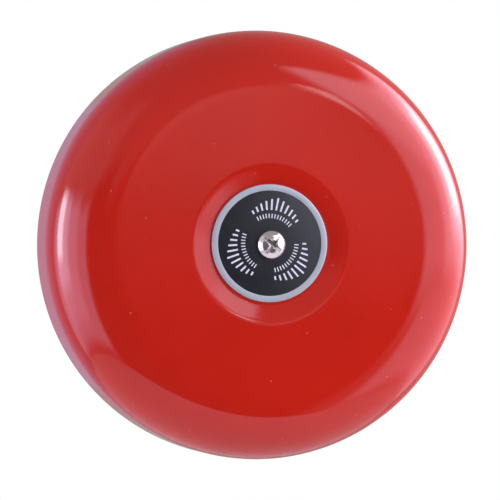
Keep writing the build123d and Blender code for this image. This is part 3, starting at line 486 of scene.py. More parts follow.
# Free-cutting steel off the lathe: grey with visible rings.
TURNED_STEEL = ToolMarked(
    "turned_steel", "#9a9a9c", 0.30, metallic=1.0, mottle=0.08, mark_mm=0.20, mark_depth_mm=0.004,
)
# Ground steel rod for what slides up and down.
GROUND_STEEL = ToolMarked(
    "ground_steel", "#a5a6aa", 0.22, metallic=1.0, mottle=0.06, lay=Lay.RINGS_ABOUT_Z,
    mark_mm=0.15, mark_depth_mm=0.002,
)
# Zinc-plated pressed sheet and fasteners: bluish, slightly cloudy.
ZINC_PLATE = Spangled(
    "zinc_plated_steel", "#aeb2b6", 0.34, metallic=1.0, mottle_mm=3.0, mottle=0.10,
    gloss_change=0.09, grain_mm=0.25, grain_depth_mm=0.004,
)
# Deep-drawn can of bright tin-plated steel, brushed along its length.
DRAWN_CAN = ToolMarked(
    "drawn_tinplate", "#b4b4b2", 0.28, metallic=1.0, mottle=0.06, mark_mm=0.18,
    mark_depth_mm=0.003,
)
# Turned free-machining brass: yellow, glossy rings.
TURNED_BRASS = ToolMarked(
    "turned_brass", "#c9a35a", 0.26, metallic=1.0, mottle=0.08, mark_mm=0.2, mark_depth_mm=0.004,
)
# Oil-filled sintered bronze: brown, open-grained, almost matt.
SINTERED_BRONZE = Finish(
    "sintered_bronze", "#96703f", 0.50, metallic=0.9, mottle_mm=1.0, mottle=0.2, grain_mm=0.15,
    grain_depth_mm=0.02,
)
# Hard copper strip and segments: pink-brown, lightly oxidised.
BARE_COPPER = Finish(
    "bare_copper", "#b9714c", 0.32, metallic=1.0, mottle_mm=2.0, mottle=0.15, grain_mm=0.2,
    grain_depth_mm=0.003,
)
# Enamelled copper wire wound side by side: amber bands a third of a millimetre apart.
WOUND_COPPER = Banded(
    "enamelled_copper_wire", "#a4532a", 0.30, metallic=0.6, coat=0.5, pitch_mm=0.35,
    band_depth_mm=0.08, mottle_mm=2.0,
)
# Stack of half-millimetre electrical steel sheets: dark edges in fine lines.
LAMINATIONS = Banded(
    "laminated_steel", "#6f7074", 0.40, metallic=0.9, pitch_mm=0.5, band_depth_mm=0.05,
)
# Pressed ferrite magnet: charcoal, dry and gritty.
FERRITE = Finish(
    "ferrite", "#3a3a3c", 0.70, mottle_mm=1.5, mottle=0.15, grain_mm=0.2, grain_depth_mm=0.02,
)
# Pressed carbon brush: black with a graphite sheen.
CARBON = Finish(
    "carbon", "#26262a", 0.45, metallic=0.3, mottle_mm=0.8, grain_mm=0.1, grain_depth_mm=0.01,
)
# Moulded black ABS with a spark-eroded texture: dark grey under light, soft sparkle-free grain.
BLACK_ABS = Finish(
    "textured_black_abs", "#1d1d1f", 0.48, mottle_mm=10.0, mottle=0.10, grain_mm=0.45,
    grain_depth_mm=0.030,
)
# Ivory moulding compound of the motor's end cap.
IVORY_NYLON = Finish(
    "ivory_nylon", "#cdc8b4", 0.42, mottle_mm=4.0, mottle=0.06, grain_mm=0.5, grain_depth_mm=0.010,
)
# Natural nylon 66: off-white, waxy, a little cloudy.
NATURAL_NYLON = Finish(
    "natural_nylon", "#ddd9cc", 0.36, mottle_mm=3.0, mottle=0.05, grain_mm=0.6,
    grain_depth_mm=0.008,
)
# Moulded EPDM rubber: flat black with a grey bloom.
BLACK_RUBBER = Finish(
    "black_rubber", "#202020", 0.68, mottle_mm=5.0, mottle=0.22, grain_mm=0.3, grain_depth_mm=0.02,
)
# Glass-fibre board under green solder mask: glossy, with the weave faintly showing through.
SOLDER_MASK = Finish(
    "green_solder_mask", "#0f5a34", 0.30, coat=0.3, mottle_mm=1.2, mottle=0.12, grain_mm=0.9,
    grain_depth_mm=0.008, stretch=(1.0, 1.0, 2.5),
)
# Green PBT of the terminal block.
TERMINAL_GREEN = Finish(
    "green_pbt", "#1f7a4a", 0.40, mottle_mm=5.0, mottle=0.06, grain_mm=0.4, grain_depth_mm=0.010,
)
# Black epoxy and shrink sleeve of the small parts.
BLACK_EPOXY = Finish(
    "black_epoxy", "#222226", 0.34, mottle_mm=2.0, mottle=0.10, grain_mm=0.3, grain_depth_mm=0.006,
)
# Blue dipped lacquer of the suppressor: thick and glossy.
BLUE_LACQUER = Finish(
    "blue_dipped_lacquer", "#1d4f8c", 0.25, coat=0.6, mottle_mm=2.5, mottle=0.10, grain_mm=1.2,
    grain_depth_mm=0.02,
)
# Tin-lead solder and tinned pads: bright, soft-edged.
SOLDER = Finish(
    "solder", "#c3c4c6", 0.22, metallic=1.0, mottle_mm=0.7, mottle=0.08, grain_mm=0.4,
    grain_depth_mm=0.01,
)
# Extruded PVC insulation, red and black.
RED_PVC = Finish(
    "red_pvc", "#b01c18", 0.38, mottle_mm=4.0, mottle=0.06, grain_mm=0.8, grain_depth_mm=0.006,
)
BLACK_PVC = Finish(
    "black_pvc", "#1b1b1c", 0.40, mottle_mm=4.0, mottle=0.10, grain_mm=0.8, grain_depth_mm=0.006,
)
# Matt emulsion on the studio floor: pale and even.
PALE_FLOOR = Finish(
    "pale_floor", "#e4e4e4", 0.85, mottle_mm=180.0, mottle=0.015, grain_mm=6.0,
    grain_depth_mm=0.02,
)

_built: dict[Finish, bpy.types.Material] = {}


def material_of(finish: Finish) -> bpy.types.Material:
    """The finish's material, made the first time it is asked for."""
    if finish not in _built:
        _built[finish] = finish.build()
    return _built[finish]


# ---- Meshes ---------------------------------------------------------------------------------
def add_piece(
    name: str,
    mesh: Mesh,
    finishes: Sequence[Finish],
    body: str,
    replaces: Sequence[str] = (),
    sharp_deg: float = 35.0,
) -> bpy.types.Object:
    """Makes a finished piece from a mesh whose place is already in its points.

    Args:
        name: The piece's name.
        mesh: Its mesh, in the row frame.
        finishes: One finish for each material index of the mesh.
        body: The CAD body that it moves with.
        replaces: CAD nodes that it stands for.
        sharp_deg: Edges that bend by more than this are shaded sharp.

    Returns:
        The new object.
    """
    mesh.name = name
    mesh.materials.clear()
    for finish in finishes:
        mesh.materials.append(material_of(finish))
    mesh.polygons.foreach_set("use_smooth", [True] * len(mesh.polygons))
    mesh.set_sharp_from_angle(angle=math.radians(sharp_deg))
    mesh.update()
    piece = bpy.data.objects.new(name, mesh)
    bpy.context.scene.collection.objects.link(piece)
    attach(piece, body)
    if replaces:
        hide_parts(*replaces)
    LOG.info("built %s: %d faces, rides on %s", name, len(mesh.polygons), body)
    return piece


def dress(finishes: dict[str, Finish]) -> None:
    """Gives CAD nodes their finishes.

    Args:
        finishes: Finish by node name.
    """
    for node, finish in finishes.items():
        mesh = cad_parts[node].data
        mesh.materials.clear()
        mesh.materials.append(material_of(finish))
        LOG.info("dressed %s in %s", node, finish.name)


def rounded_path(
    corners: Sequence[Point], radii: Sequence[float], steps: int = 12
) -> list[tuple[Vector, Vector]]:
    """Follows straight runs joined by tangent arcs.

    Args:
        corners: The path's corners, in order.
        radii: One arc radius for each inner corner.
        steps: Points along each arc.

    Returns:
        Pairs of a point and the path's direction there.
    """
    points = [Vector(c) for c in corners]
    path = [(points[0], (points[1] - points[0]).normalized())]
    for before, corner, after, radius in zip(points, points[1:], points[2:], radii):
        into = (corner - before).normalized()
        out = (after - corner).normalized()
        turn = into.angle_signed(out)
        start = corner - into * (radius * math.tan(abs(turn) / 2))
        side = math.copysign(1.0, -turn)
        normal = Vector((-into.y, into.x)) * side
        centre = start + normal * radius
        for step in range(steps + 1):
            angle = -turn * step / steps
            spin = Matrix.Rotation(angle, 2)
            path.append((centre - spin @ (normal * radius), spin @ into))
    path.append((points[-1], (points[-1] - points[-2]).normalized()))
    return path


def wall_profile(path: Sequence[tuple[Vector, Vector]], thickness: float) -> list[Point]:
    """Closes a path into the section of a wall of even thickness.

    Args:
        path: Points and directions from rounded_path.
        thickness: The wall's thickness, on the left of the path.

    Returns:
        The closed section's points.
    """
    outside = [tuple(point) for point, _ in path]
    inside = [tuple(point + Vector((-way.y, way.x)) * thickness) for point, way in path]
    return outside + inside[::-1]


# ---- Geometry Nodes ---------------------------------------------------------------------------
def new_tree(name: str, inputs: dict[str, str]) -> Tree:
    """Starts a geometry tree with a geometry input, named inputs and a geometry output.

    Args:
        name: The tree's name.
        inputs: Kind of socket, such as Int or Float, by input name.

    Returns:
        The tree, with its group nodes named "in" and "out".
    """
    tree = bpy.data.node_groups.new(name, "GeometryNodeTree")
    tree.interface.new_socket("Geometry", in_out="INPUT", socket_type="NodeSocketGeometry")
    for label, kind in inputs.items():
        tree.interface.new_socket(label, in_out="INPUT", socket_type="NodeSocket" + kind)
    tree.interface.new_socket("Geometry", in_out="OUTPUT", socket_type="NodeSocketGeometry")
    add_node(tree, "NodeGroupInput").name = "in"
    add_node(tree, "NodeGroupOutput", {"is_active_output": True}).name = "out"
    return tree


def close_tree(tree: Tree, geometry: Socket) -> None:
    """Ends a tree in Realize Instances and Set Material.

    Args:
        tree: A tree with a Surface input.
        geometry: The geometry to finish.
    """
    real = add_node(tree, "GeometryNodeRealizeInstances", links={"Geometry": geometry})
    painted = add_node(
        tree,
        "GeometryNodeSetMaterial",
        links={
            "Geometry": real.outputs["Geometry"], "Material": tree.nodes["in"].outputs["Surface"]
        },
    )
    tree.links.new(painted.outputs["Geometry"], tree.nodes["out"].inputs["Geometry"])


def run_tree(tree: Tree, base: Mesh, values: dict[str, object]) -> Mesh:
    """Runs a tree on a mesh and returns the result as a plain mesh.

    Args:
        tree: The geometry tree.
        base: The mesh that it starts from.
        values: Input values by name.

    Returns:
        A new mesh.
    """
    holder = bpy.data.objects.new("tree_holder", base)
    bpy.context.scene.collection.objects.link(holder)
    modifier = holder.modifiers.new("tree", "NODES")
    modifier.node_group = tree
    sockets = {item.name: item.identifier for item in tree.interface.items_tree
               if item.item_type == "SOCKET" and item.in_out == "INPUT"}
    for name, value in values.items():
        modifier[sockets[name]] = value
    graph = bpy.context.evaluated_depsgraph_get()
    made = bpy.data.meshes.new_from_object(holder.evaluated_get(graph), depsgraph=graph)
    holder.modifiers.remove(modifier)
    bpy.data.objects.remove(holder)
    return made


def points_mesh(points: Iterable[Triple]) -> Mesh:
    """A mesh of loose points."""
    mesh = bpy.data.meshes.new("points")
    mesh.from_pydata(list(points), [], [])
    return mesh


def lathe_tree() -> Tree:
    """Tree that turns a section, given as points (radius, depth, 0), about the Y axis.

    Returns:
        The tree; its inputs are Section Points, Segments, Centre and Surface.
    """
    tree = new_tree(
        "lathe",
        {"Section Points": "Int", "Segments": "Int", "Centre": "Vector", "Surface": "Material"},
    )
    given = tree.nodes["in"].outputs
    count = given["Section Points"]
    grid = add_node(
        tree,
        "GeometryNodeMeshGrid",
        {"Size X": 1.0, "Size Y": 1.0},
        {"Vertices X": calc(tree, "ADD", count, 1.0),
         "Vertices Y": calc(tree, "ADD", given["Segments"], 1.0)},
    )
    position = add_node(tree, "GeometryNodeInputPosition").outputs["Position"]
    spot = add_node(tree, "ShaderNodeSeparateXYZ", links={"Vector": position}).outputs
    along = calc(tree, "MULTIPLY", calc(tree, "ADD", spot["X"], 0.5), count)
    section = add_node(
        tree,
        "GeometryNodeSampleIndex",
        {"data_type": "FLOAT_VECTOR", "domain": "POINT"},
        {
            "Geometry": given["Geometry"],
            "Index": calc(tree, "FLOORED_MODULO", calc(tree, "ROUND", along), count),
            "Value": position,
        },
    )
    spun = add_node(
        tree,
        "ShaderNodeVectorRotate",
        {"rotation_type": "Y_AXIS"},
        {"Vector": section.outputs["Value"],
         "Angle": calc(tree, "MULTIPLY", spot["Y"], 2 * math.pi)},
    )
    moved = vector_calc(tree, "ADD", spun.outputs["Vector"], given["Centre"])
    surface = add_node(
        tree,
        "GeometryNodeSetPosition",
        links={"Geometry": grid.outputs["Mesh"], "Position": moved},
    )
    sewn = add_node(
        tree,
        "GeometryNodeMergeByDistance",
        {"Distance": 1e-6},
        {"Geometry": surface.outputs["Geometry"]},
    )
    close_tree(tree, sewn.outputs["Geometry"])
    return tree


def coil_tree() -> Tree:
    """Tree that winds a round wire into an upright coil.

    Returns:
        The tree; its inputs are Turns, Coil Radius, Wire Radius, Height, Foot and Surface.
    """
    tree = new_tree(
        "coil",
        {
            "Turns": "Float",
            "Coil Radius": "Float",
            "Wire Radius": "Float",
            "Height": "Float",
            "Foot": "Vector",
            "Surface": "Material",
        },
    )
    given = tree.nodes["in"].outputs
    spiral = add_node(
        tree,
        "GeometryNodeCurveSpiral",
        {"Resolution": 40},
        {
            "Rotations": given["Turns"],
            "Start Radius": given["Coil Radius"],
            "End Radius": given["Coil Radius"],
            "Height": given["Height"],
        },
    )
    size = {"Radius": given["Wire Radius"]}
    wire = add_node(tree, "GeometryNodeCurvePrimitiveCircle", {"Resolution": 14}, size)
    wound = add_node(
        tree,
        "GeometryNodeCurveToMesh",
        {"Fill Caps": True},
        {"Curve": spiral.outputs["Curve"], "Profile Curve": wire.outputs["Curve"]},
    )
    placed = add_node(
        tree,
        "GeometryNodeTransform",
        links={"Geometry": wound.outputs["Mesh"], "Translation": given["Foot"]},
    )
    close_tree(tree, placed.outputs["Geometry"])
    return tree


def dial_marks_tree() -> Tree:
    """Tree that prints groups of bars round a dial, longest in the middle of each group.

    Returns:
        The tree; its inputs name the counts, angles in degrees, sizes, Centre and Surface.
    """
    tree = new_tree(
        "dial_marks",
        {
            "Groups": "Int",
            "Bars": "Int",
            "Pitch": "Float",
            "First Angle": "Float",
            "Foot Radius": "Float",
            "Shortest": "Float",
            "Longest": "Float",
            "Width": "Float",
            "Thickness": "Float",
            "Centre": "Vector",
            "Surface": "Material",
        },
    )
    given = tree.nodes["in"].outputs

    sum_of = partial(calc, tree)
    count = sum_of("MULTIPLY", given["Groups"], given["Bars"])
    row = add_node(tree, "GeometryNodeMeshLine", links={"Count": count})
    index = add_node(tree, "GeometryNodeInputIndex").outputs["Index"]
    group = sum_of("FLOOR", sum_of("DIVIDE", index, given["Bars"]))
    place = sum_of("FLOORED_MODULO", index, given["Bars"])
    middle = sum_of("MULTIPLY", sum_of("SUBTRACT", given["Bars"], 1.0), 0.5)
    step = sum_of("SUBTRACT", place, middle)
    share = sum_of("SUBTRACT", 1.0, sum_of("DIVIDE", sum_of("ABSOLUTE", step), middle))
    spread = sum_of("SUBTRACT", given["Longest"], given["Shortest"])
    length = sum_of("ADD", given["Shortest"], sum_of("MULTIPLY", share, spread))
    group_turn = sum_of("MULTIPLY", group, sum_of("DIVIDE", 360.0, given["Groups"]))
    group_angle = sum_of("ADD", given["First Angle"], group_turn)
    degrees = sum_of("ADD", group_angle, sum_of("MULTIPLY", step, given["Pitch"]))
    angle = sum_of("RADIANS", degrees)
    radius = sum_of("ADD", given["Foot Radius"], sum_of("MULTIPLY", length, 0.5))
    spot = combine(
        tree,
        X=sum_of("MULTIPLY", radius, sum_of("COSINE", angle)),
        Z=sum_of("MULTIPLY", radius, sum_of("SINE", angle)),
    )
    laid = add_node(
        tree,
        "GeometryNodeSetPosition",
        links={
            "Geometry": row.outputs["Mesh"],
            "Position": vector_calc(tree, "ADD", spot, given["Centre"]),
        },
    )
    size = combine(tree, X=length, Y=given["Thickness"], Z=given["Width"])
    facing = combine(tree, Y=sum_of("MULTIPLY", angle, -1.0))
    bar = add_node(tree, "GeometryNodeMeshCube", {"Size": (1.0, 1.0, 1.0)})
    bars = add_node(
        tree,
        "GeometryNodeInstanceOnPoints",
        links={
            "Points": laid.outputs["Geometry"],
            "Instance": bar.outputs["Mesh"],
            "Rotation": facing,
            "Scale": size,
        },
    )
    close_tree(tree, bars.outputs["Instances"])
    return tree


def domes_tree() -> Tree:
    """Tree that sets a flattened dome, such as a solder joint, on each given point.

    Returns:
        The tree; its inputs are Radius, Height and Surface.
    """
    tree = new_tree("domes", { "Radius": "Float", "Height": "Float", "Surface": "Material", })
    given = tree.nodes["in"].outputs
    ball = add_node(tree, "GeometryNodeMeshUVSphere", {"Segments": 14, "Rings": 8, "Radius": 1.0})
    size = combine(tree, X=given["Radius"], Y=given["Height"], Z=given["Radius"])
    domes = add_node(
        tree,
        "GeometryNodeInstanceOnPoints",
        links={"Points": given["Geometry"], "Instance": ball.outputs["Mesh"], "Scale": size},
    )
    close_tree(tree, domes.outputs["Instances"])
    return tree


def lathe(
    section: Sequence[Point], finish: Finish, centre: tuple[float, float] = (0.0, 0.0),
    segments: int = 160,
) -> Mesh:
    """Turns a closed section about an axis along Y.

    Args:
        section: Points (radius, depth) of the closed section, in metres.
        finish: The finish of the whole surface.
        centre: X and Z of the axis.
        segments: Steps round the axis.

    Returns:
        A closed mesh with its faces outwards.
    """
    mesh = run_tree(
        lathe_tree(),
        points_mesh((r, y, 0.0) for r, y in section),
        {
            "Section Points": len(section),
            "Segments": segments,
            "Centre": (centre[0], 0.0, centre[1]),
            "Surface": material_of(finish),
        },
    )
    face_outwards(mesh)
    return mesh


def face_outwards(mesh: Mesh) -> None:
    """Turns a closed mesh's faces outwards."""
    shape = bmesh.new()
    shape.from_mesh(mesh)
    bmesh.ops.recalc_face_normals(shape, faces=shape.faces)
    shape.to_mesh(mesh)
    shape.free()


def assign_finish(mesh: Mesh, choose: Callable[[Vector, Vector], int]) -> None:
    """Sets each face's material index from its centre and normal.

    Args:
        mesh: The mesh to change.
        choose: Gives the index for a centre and a normal.
    """
    for face in mesh.polygons:
        face.material_index = choose(face.center, face.normal)


# ---- Sub-assemblies ---------------------------------------------------------------------------
class Assembly:
    """A group of parts: pieces that are built here, and CAD nodes that get a finish."""

    finishes: ClassVar[dict[str, Finish]] = {}

    def build(self) -> None:
        """Builds the group's own pieces; a group of CAD nodes alone has none."""

    def dress(self) -> None:
        """Gives the group's CAD nodes their finishes."""
        dress(self.finishes)


@dataclass
class Gong(Assembly):
    """The pressed steel bowl and the nylon bush behind it.  Sizes in millimetres."""

    thickness: float = 1.4
    hole_radius: float = 4.0
    floor_edge_radius: float = 21.2
    lip_radius: float = 26.8
    recess_depth: float = 1.7
    front: float = -60.6  # where the lip's two slopes would meet
    face_rise: float = 1.0
    skirt_draft: float = 0.6
    floor_fillet: float = 2.0
    lip_fillet: float = 8.0
    shoulder_fillet: float = 22.0
    longest_run: float = 2.5
    rim_band: float = 0.2  # the rim's own edge keeps its gloss
    arc_steps: int = 22
    segments: int = 256
    finishes = {"gong_bush": NATURAL_NYLON}

    def section(self) -> list[Point]:
        """The wall's closed section, as (radius, depth) points in metres."""
        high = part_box("gong")[1]
        radius, rim = high.x / MM, high.y / MM
        corners = [
            (self.hole_radius, self.front + self.recess_depth),
            (self.floor_edge_radius, self.front + self.recess_depth),
            (self.lip_radius, self.front),
            (radius - self.skirt_draft, self.front + self.face_rise),
            (radius, rim),
        ]
        fillets = [self.floor_fillet, self.lip_fillet, self.shoulder_fillet]
        path = rounded_path(corners, fillets, self.arc_steps)
        even = self.even_runs(path)
        return [(x * MM, y * MM) for x, y in wall_profile(even, self.thickness)]

    def even_runs(self, path: Sequence[tuple[Vector, Vector]]) -> list[tuple[Vector, Vector]]:
        """Adds points to long straight runs, so that the faces stay short."""
        filled = [path[0]]
        for (start, _), (end, way) in zip(path, path[1:]):
            parts = max(1, round((end - start).length / self.longest_run))
            for part in range(1, parts):
                filled.append((start.lerp(end, part / parts), (end - start).normalized()))
            filled.append((end, way))
        return filled

    def build(self) -> None:
        """Builds the bowl: enamel outside, overspray inside."""
        mesh = lathe(self.section(), RED_ENAMEL, segments=self.segments)
        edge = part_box("gong")[1].y - self.rim_band * MM

        def inside_or_out(centre: Vector, normal: Vector) -> int:
            """Index 1 for the inside of the bowl, 0 elsewhere."""
            outward = normal.dot(Vector((centre.x, 0.0, centre.z)).normalized())
            return int(centre.y < edge and (normal.y > 0.02 or outward < -0.9))

        assign_finish(mesh, inside_or_out)
        add_piece(
            "gong_bowl", mesh, [RED_ENAMEL, RED_OVERSPRAY], "bell_frame", ["gong"], 40.0
        )


@dataclass
class Nameplate(Assembly):
    """The plate with its border, the black print and its pale marks.  Sizes in millimetres."""

    hole_radius: float = 3.2
    print_radius: float = 18.05
    print_depth: float = 0.25
    seat_round: float = 0.02
    border_round: float = 0.05
    edge_round: float = 0.35
    back_round: float = 0.1
    print_bevel: tuple[float, float] = (0.1, 0.04)
    mark_thickness: float = 0.02
    outer_foot: float = 11.4
    outer_longest: float = 4.3
    outer_shortest: float = 1.3
    outer_bars: int = 11
    outer_pitch: float = 8.0
    inner_foot: float = 8.6
    inner_length: float = 1.5
    inner_bars: int = 13
    inner_pitch: float = 6.3
    mark_width: float = 0.62
    tick_share: float = 0.6  # a tick's width over a bar's
    mark_stand: float = 0.4  # a mark's middle in front of the print, over its thickness
    first_group_deg: float = 79.0

    def centre(self) -> tuple[float, float]:
        """X and Z of the plate's middle."""
        low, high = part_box("nameplate")
        return ((low.x + high.x) / 2, (low.z + high.z) / 2)

    def build(self) -> None:
        """Builds the plate, its print and its marks."""
        self.build_plate()
        self.build_print()
        self.build_marks()

    def build_plate(self) -> None:
        """The bright disc with its shallow seat."""
        low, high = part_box("nameplate")
        radius = (high.x - low.x) / 2 / MM
        front, back = low.y / MM, high.y / MM
        seat = front + self.print_depth
        corners = [
            (self.hole_radius, seat),
            (self.print_radius, seat),
            (self.print_radius, front),
            (radius, front),
            (radius, back),
            (self.hole_radius, back),
        ]
        rounds = [self.seat_round, self.border_round, self.edge_round, self.back_round]
        path = rounded_path(corners, rounds, steps=5)
        section = [(p.x * MM, p.y * MM) for p, _ in path]
        mesh = lathe(section, SATIN_ALUMINIUM, self.centre(), 192)
        add_piece("nameplate_disc", mesh, [SATIN_ALUMINIUM], "bell_frame",
                  ["nameplate"], 50.0)

    def build_print(self) -> None:
        """The black printed face."""
        low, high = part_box("nameplate_face")
        inner, outer = self.hole_radius * MM, self.print_radius * MM
        across, down = self.print_bevel
        section = [
            (inner, low.y), (outer - across * MM, low.y), (outer, low.y + down * MM),
            (outer, high.y), (inner, high.y),
        ]
        mesh = lathe(section, BLACK_PRINT, self.centre(), 160)
        add_piece("nameplate_print", mesh, [BLACK_PRINT], "bell_frame",
                  ["nameplate_face"])

    def build_marks(self) -> None:
        """Three groups of level bars with a row of fine ticks inside each."""
        x, z = self.centre()
        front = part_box("nameplate_face")[0].y
        tree = dial_marks_tree()
        shared = {
            "Groups": 3,
            "First Angle": self.first_group_deg,
            "Thickness": self.mark_thickness * MM,
            "Centre": (x, front - self.mark_thickness * MM * self.mark_stand, z),
            "Surface": material_of(PALE_PRINT),
        }
        rows = {
            "nameplate_level_bars": {
                "Bars": self.outer_bars, "Pitch": self.outer_pitch,
                "Foot Radius": self.outer_foot * MM, "Shortest": self.outer_shortest * MM,
                "Longest": self.outer_longest * MM, "Width": self.mark_width * MM,
            },
            "nameplate_fine_ticks": {
                "Bars": self.inner_bars, "Pitch": self.inner_pitch,
                "Foot Radius": self.inner_foot * MM, "Shortest": self.inner_length * MM,
                "Longest": self.inner_length * MM, "Width": self.mark_width * self.tick_share * MM,
            },
        }
        for name, values in rows.items():
            mesh = run_tree(tree, points_mesh([]), shared | values)
            add_piece(name, mesh, [PALE_PRINT], "bell_frame")


@dataclass
class Screw(Assembly):
    """The pan-head centre screw with its cross recess.

    Lengths are in millimetres; shares are of the head's radius or of its height.
    """

    shank_radius: float = 2.45
    tip: float = 2e-7  # points on the axis itself would leave faces with no area
    crown_share: float = 0.62
    crown_drop: float = 0.10
    side_share: float = 0.55
    rounds: tuple[float, ...] = (4.0, 1.0, 0.15, 0.1, 0.4)
    worn_edge: float = 0.07
    worn_angle_deg: float = 38.0
    turn_deg: float = 52.0
    arm_reach: float = 0.76
    arm_half_width: float = 0.14
    cutter_above: float = 1.0
    cutter_shares: tuple[float, float, float] = (1.08, 0.96, 0.50)
    cutter_depths: tuple[float, float] = (0.30, 0.72)
    dark_below: float = 0.35
    dark_above_seat: float = 0.1
    dark_reach: float = 0.80

    def build(self) -> None:
        """Builds the screw: a turned head and shank with the recess cut into it."""
        low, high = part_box("gong_screw")
        head_radius = high.x
        crown = low.y
        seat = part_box("nameplate_face")[0].y
        height = seat - crown
        head = bpy.data.objects.new("head", self.turned_mesh(head_radius, crown, seat, high.y))
        cutter = bpy.data.objects.new("cutter", self.recess_mesh(head_radius, crown, height))
        for thing in (head, cutter):
            bpy.context.scene.collection.objects.link(thing)
        cut = head.modifiers.new("recess", "BOOLEAN")
        cut.object = cutter
        cut.operation = "DIFFERENCE"
        cut.solver = "EXACT"
        worn = head.modifiers.new("worn_edges", "BEVEL")
        worn.width = self.worn_edge * MM
        worn.segments = 2
        worn.limit_method = "ANGLE"
        worn.angle_limit = math.radians(self.worn_angle_deg)
        graph = bpy.context.evaluated_depsgraph_get()
        made = bpy.data.meshes.new_from_object(head.evaluated_get(graph), depsgraph=graph)
        for thing in (head, cutter):
            bpy.data.objects.remove(thing)
        # Faces deep in the cross recess take the darker nickel, which paints shade into the
        # recess.
        dark = (crown + self.dark_below * MM, seat - self.dark_above_seat * MM)

        def in_recess(centre: Vector, normal: Vector) -> int:
            """Index 1 inside the cross recess, 0 elsewhere."""
            reach = math.hypot(centre.x, centre.z)
            return int(dark[0] < centre.y < dark[1] and reach < head_radius * self.dark_reach)

        assign_finish(made, in_recess)
        add_piece("gong_screw_bright", made, [BRIGHT_NICKEL, RECESS_NICKEL_PAINTED_SHADE], "bell_frame",
                  ["gong_screw"], 30.0)

    def turned_mesh(self, head_radius: float, crown: float, seat: float, end: float) -> Mesh:
        """Head and shank before the recess is cut.

        Args:
            head_radius: Radius of the head.
            crown: Depth of the head's highest point.
            seat: Depth of the head's underside.
            end: Depth of the shank's end.

        Returns:
            The closed mesh.
        """
        height = seat - crown
        corners = [
            (self.tip, crown / MM),
            (head_radius / MM * self.crown_share, crown / MM + self.crown_drop),
            (head_radius / MM, crown / MM + height / MM * self.side_share),
            (head_radius / MM, seat / MM),
            (self.shank_radius, seat / MM),
            (self.shank_radius, end / MM),
            (self.tip, end / MM),
        ]
        path = rounded_path(corners, self.rounds, steps=8)
        return lathe([(p.x * MM, p.y * MM) for p, _ in path], BRIGHT_NICKEL, segments=96)

    def recess_mesh(self, head_radius: float, crown: float, height: float) -> Mesh:
        """Cross-shaped cutter that narrows with depth, turned to where the screw stopped.

        Args:
            head_radius: Radius of the head.
            crown: Depth of the head's highest point.
            height: Height of the head.

        Returns:
            The cutter's mesh.
        """
        shape = bmesh.new()
        reach, half = head_radius * self.arm_reach, head_radius * self.arm_half_width
        outline = []
        for quarter in range(4):
            spin = Matrix.Rotation(math.radians(90 * quarter + self.turn_deg), 2)
            outline += [spin @ Vector(p) for p in ((half, half), (reach, half), (reach, -half))]
        ordered = sorted(outline, key=lambda p: math.atan2(p.y, p.x))
        depths = [crown - self.cutter_above * MM]
        depths += [crown + height * share for share in self.cutter_depths]
        rings = [
            [shape.verts.new((p.x * share, depth, p.y * share)) for p in ordered]
            for depth, share in zip(depths, self.cutter_shares)
        ]
        for upper, lower in zip(rings, rings[1:]):
            for i in range(len(upper)):
                j = (i + 1) % len(upper)
                shape.faces.new((upper[i], upper[j], lower[j], lower[i]))
        shape.faces.new(rings[0])
        shape.faces.new(rings[-1][::-1])
        bmesh.ops.recalc_face_normals(shape, faces=shape.faces)
        mesh = bpy.data.meshes.new("recess")
        shape.to_mesh(mesh)
        shape.free()
        return mesh


class Base(Assembly):
    """Base plate, pillar, grommet and earth stud."""

    finishes = {
        "base_plate": RED_POWDER,
        "centre_pillar": TURNED_STEEL,
        "pillar_screw": ZINC_PLATE,
        "cable_grommet": BLACK_RUBBER,
        "earth_stud": ZINC_PLATE,
        "earth_nut": TURNED_BRASS,
    }


class Mechanism(Assembly):
    """Chassis, cover, motor and rotor."""

    finishes = {
        "chassis": ZINC_PLATE,
        "chassis_screws": ZINC_PLATE,
        "chassis_nuts": ZINC_PLATE,
        "mechanism_cover": BLACK_ABS,
        "cover_screws": ZINC_PLATE,
        "motor_can": DRAWN_CAN,
        "motor_front_bush": SINTERED_BRONZE,
        "motor_end_cap": IVORY_NYLON,
        "motor_rear_bush": SINTERED_BRONZE,
        "motor_terminals": TURNED_BRASS,
        "brush_arms": BARE_COPPER,
        "brushes": CARBON,
        "motor_magnets": FERRITE,
        "motor_screws": ZINC_PLATE,
        "motor_shaft": GROUND_STEEL,
        "rotor_core": LAMINATIONS,
        "rotor_windings": WOUND_COPPER,
        "commutator": BARE_COPPER,
        "rotor_hub": TURNED_BRASS,
        "kicker_pin": TURNED_STEEL,
        "kicker": GROUND_STEEL,
    }


@dataclass
class Striker(Assembly):
    """Plunger, tip, clip, buffer, guide and return spring.  Sizes in millimetres."""

    spring_turns: float = 4.0
    wire_radius: float = 0.3
    travel_keep: float = 0.69

    def build(self) -> None:
        """Builds the return spring as a wound wire."""
        low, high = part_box("striker_spring")
        wire = self.wire_radius * MM
        height = high.z - low.z - 2 * wire
        centre_x, centre_y = (low.x + high.x) / 2, (low.y + high.y) / 2
        mesh = run_tree(
            coil_tree(),
            points_mesh([]),
            {
                "Turns": self.spring_turns,
                "Coil Radius": (high.x - low.x) / 2 - wire,
                "Wire Radius": wire,
                "Height": height,
                "Foot": (centre_x, centre_y, low.z + wire),
                "Surface": material_of(GROUND_STEEL),
            },
        )
        face_outwards(mesh)
        spring = add_piece("return_spring", mesh, [GROUND_STEEL], "bell_frame",
                           ["striker_spring"], 60.0)
        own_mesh(spring)

    finishes = {
        "striker_plunger": GROUND_STEEL,
        "striker_tip": NATURAL_NYLON,
        "striker_clip": ZINC_PLATE,
        "striker_buffer": BLACK_RUBBER,
        "guide_bush": TURNED_BRASS,
    }


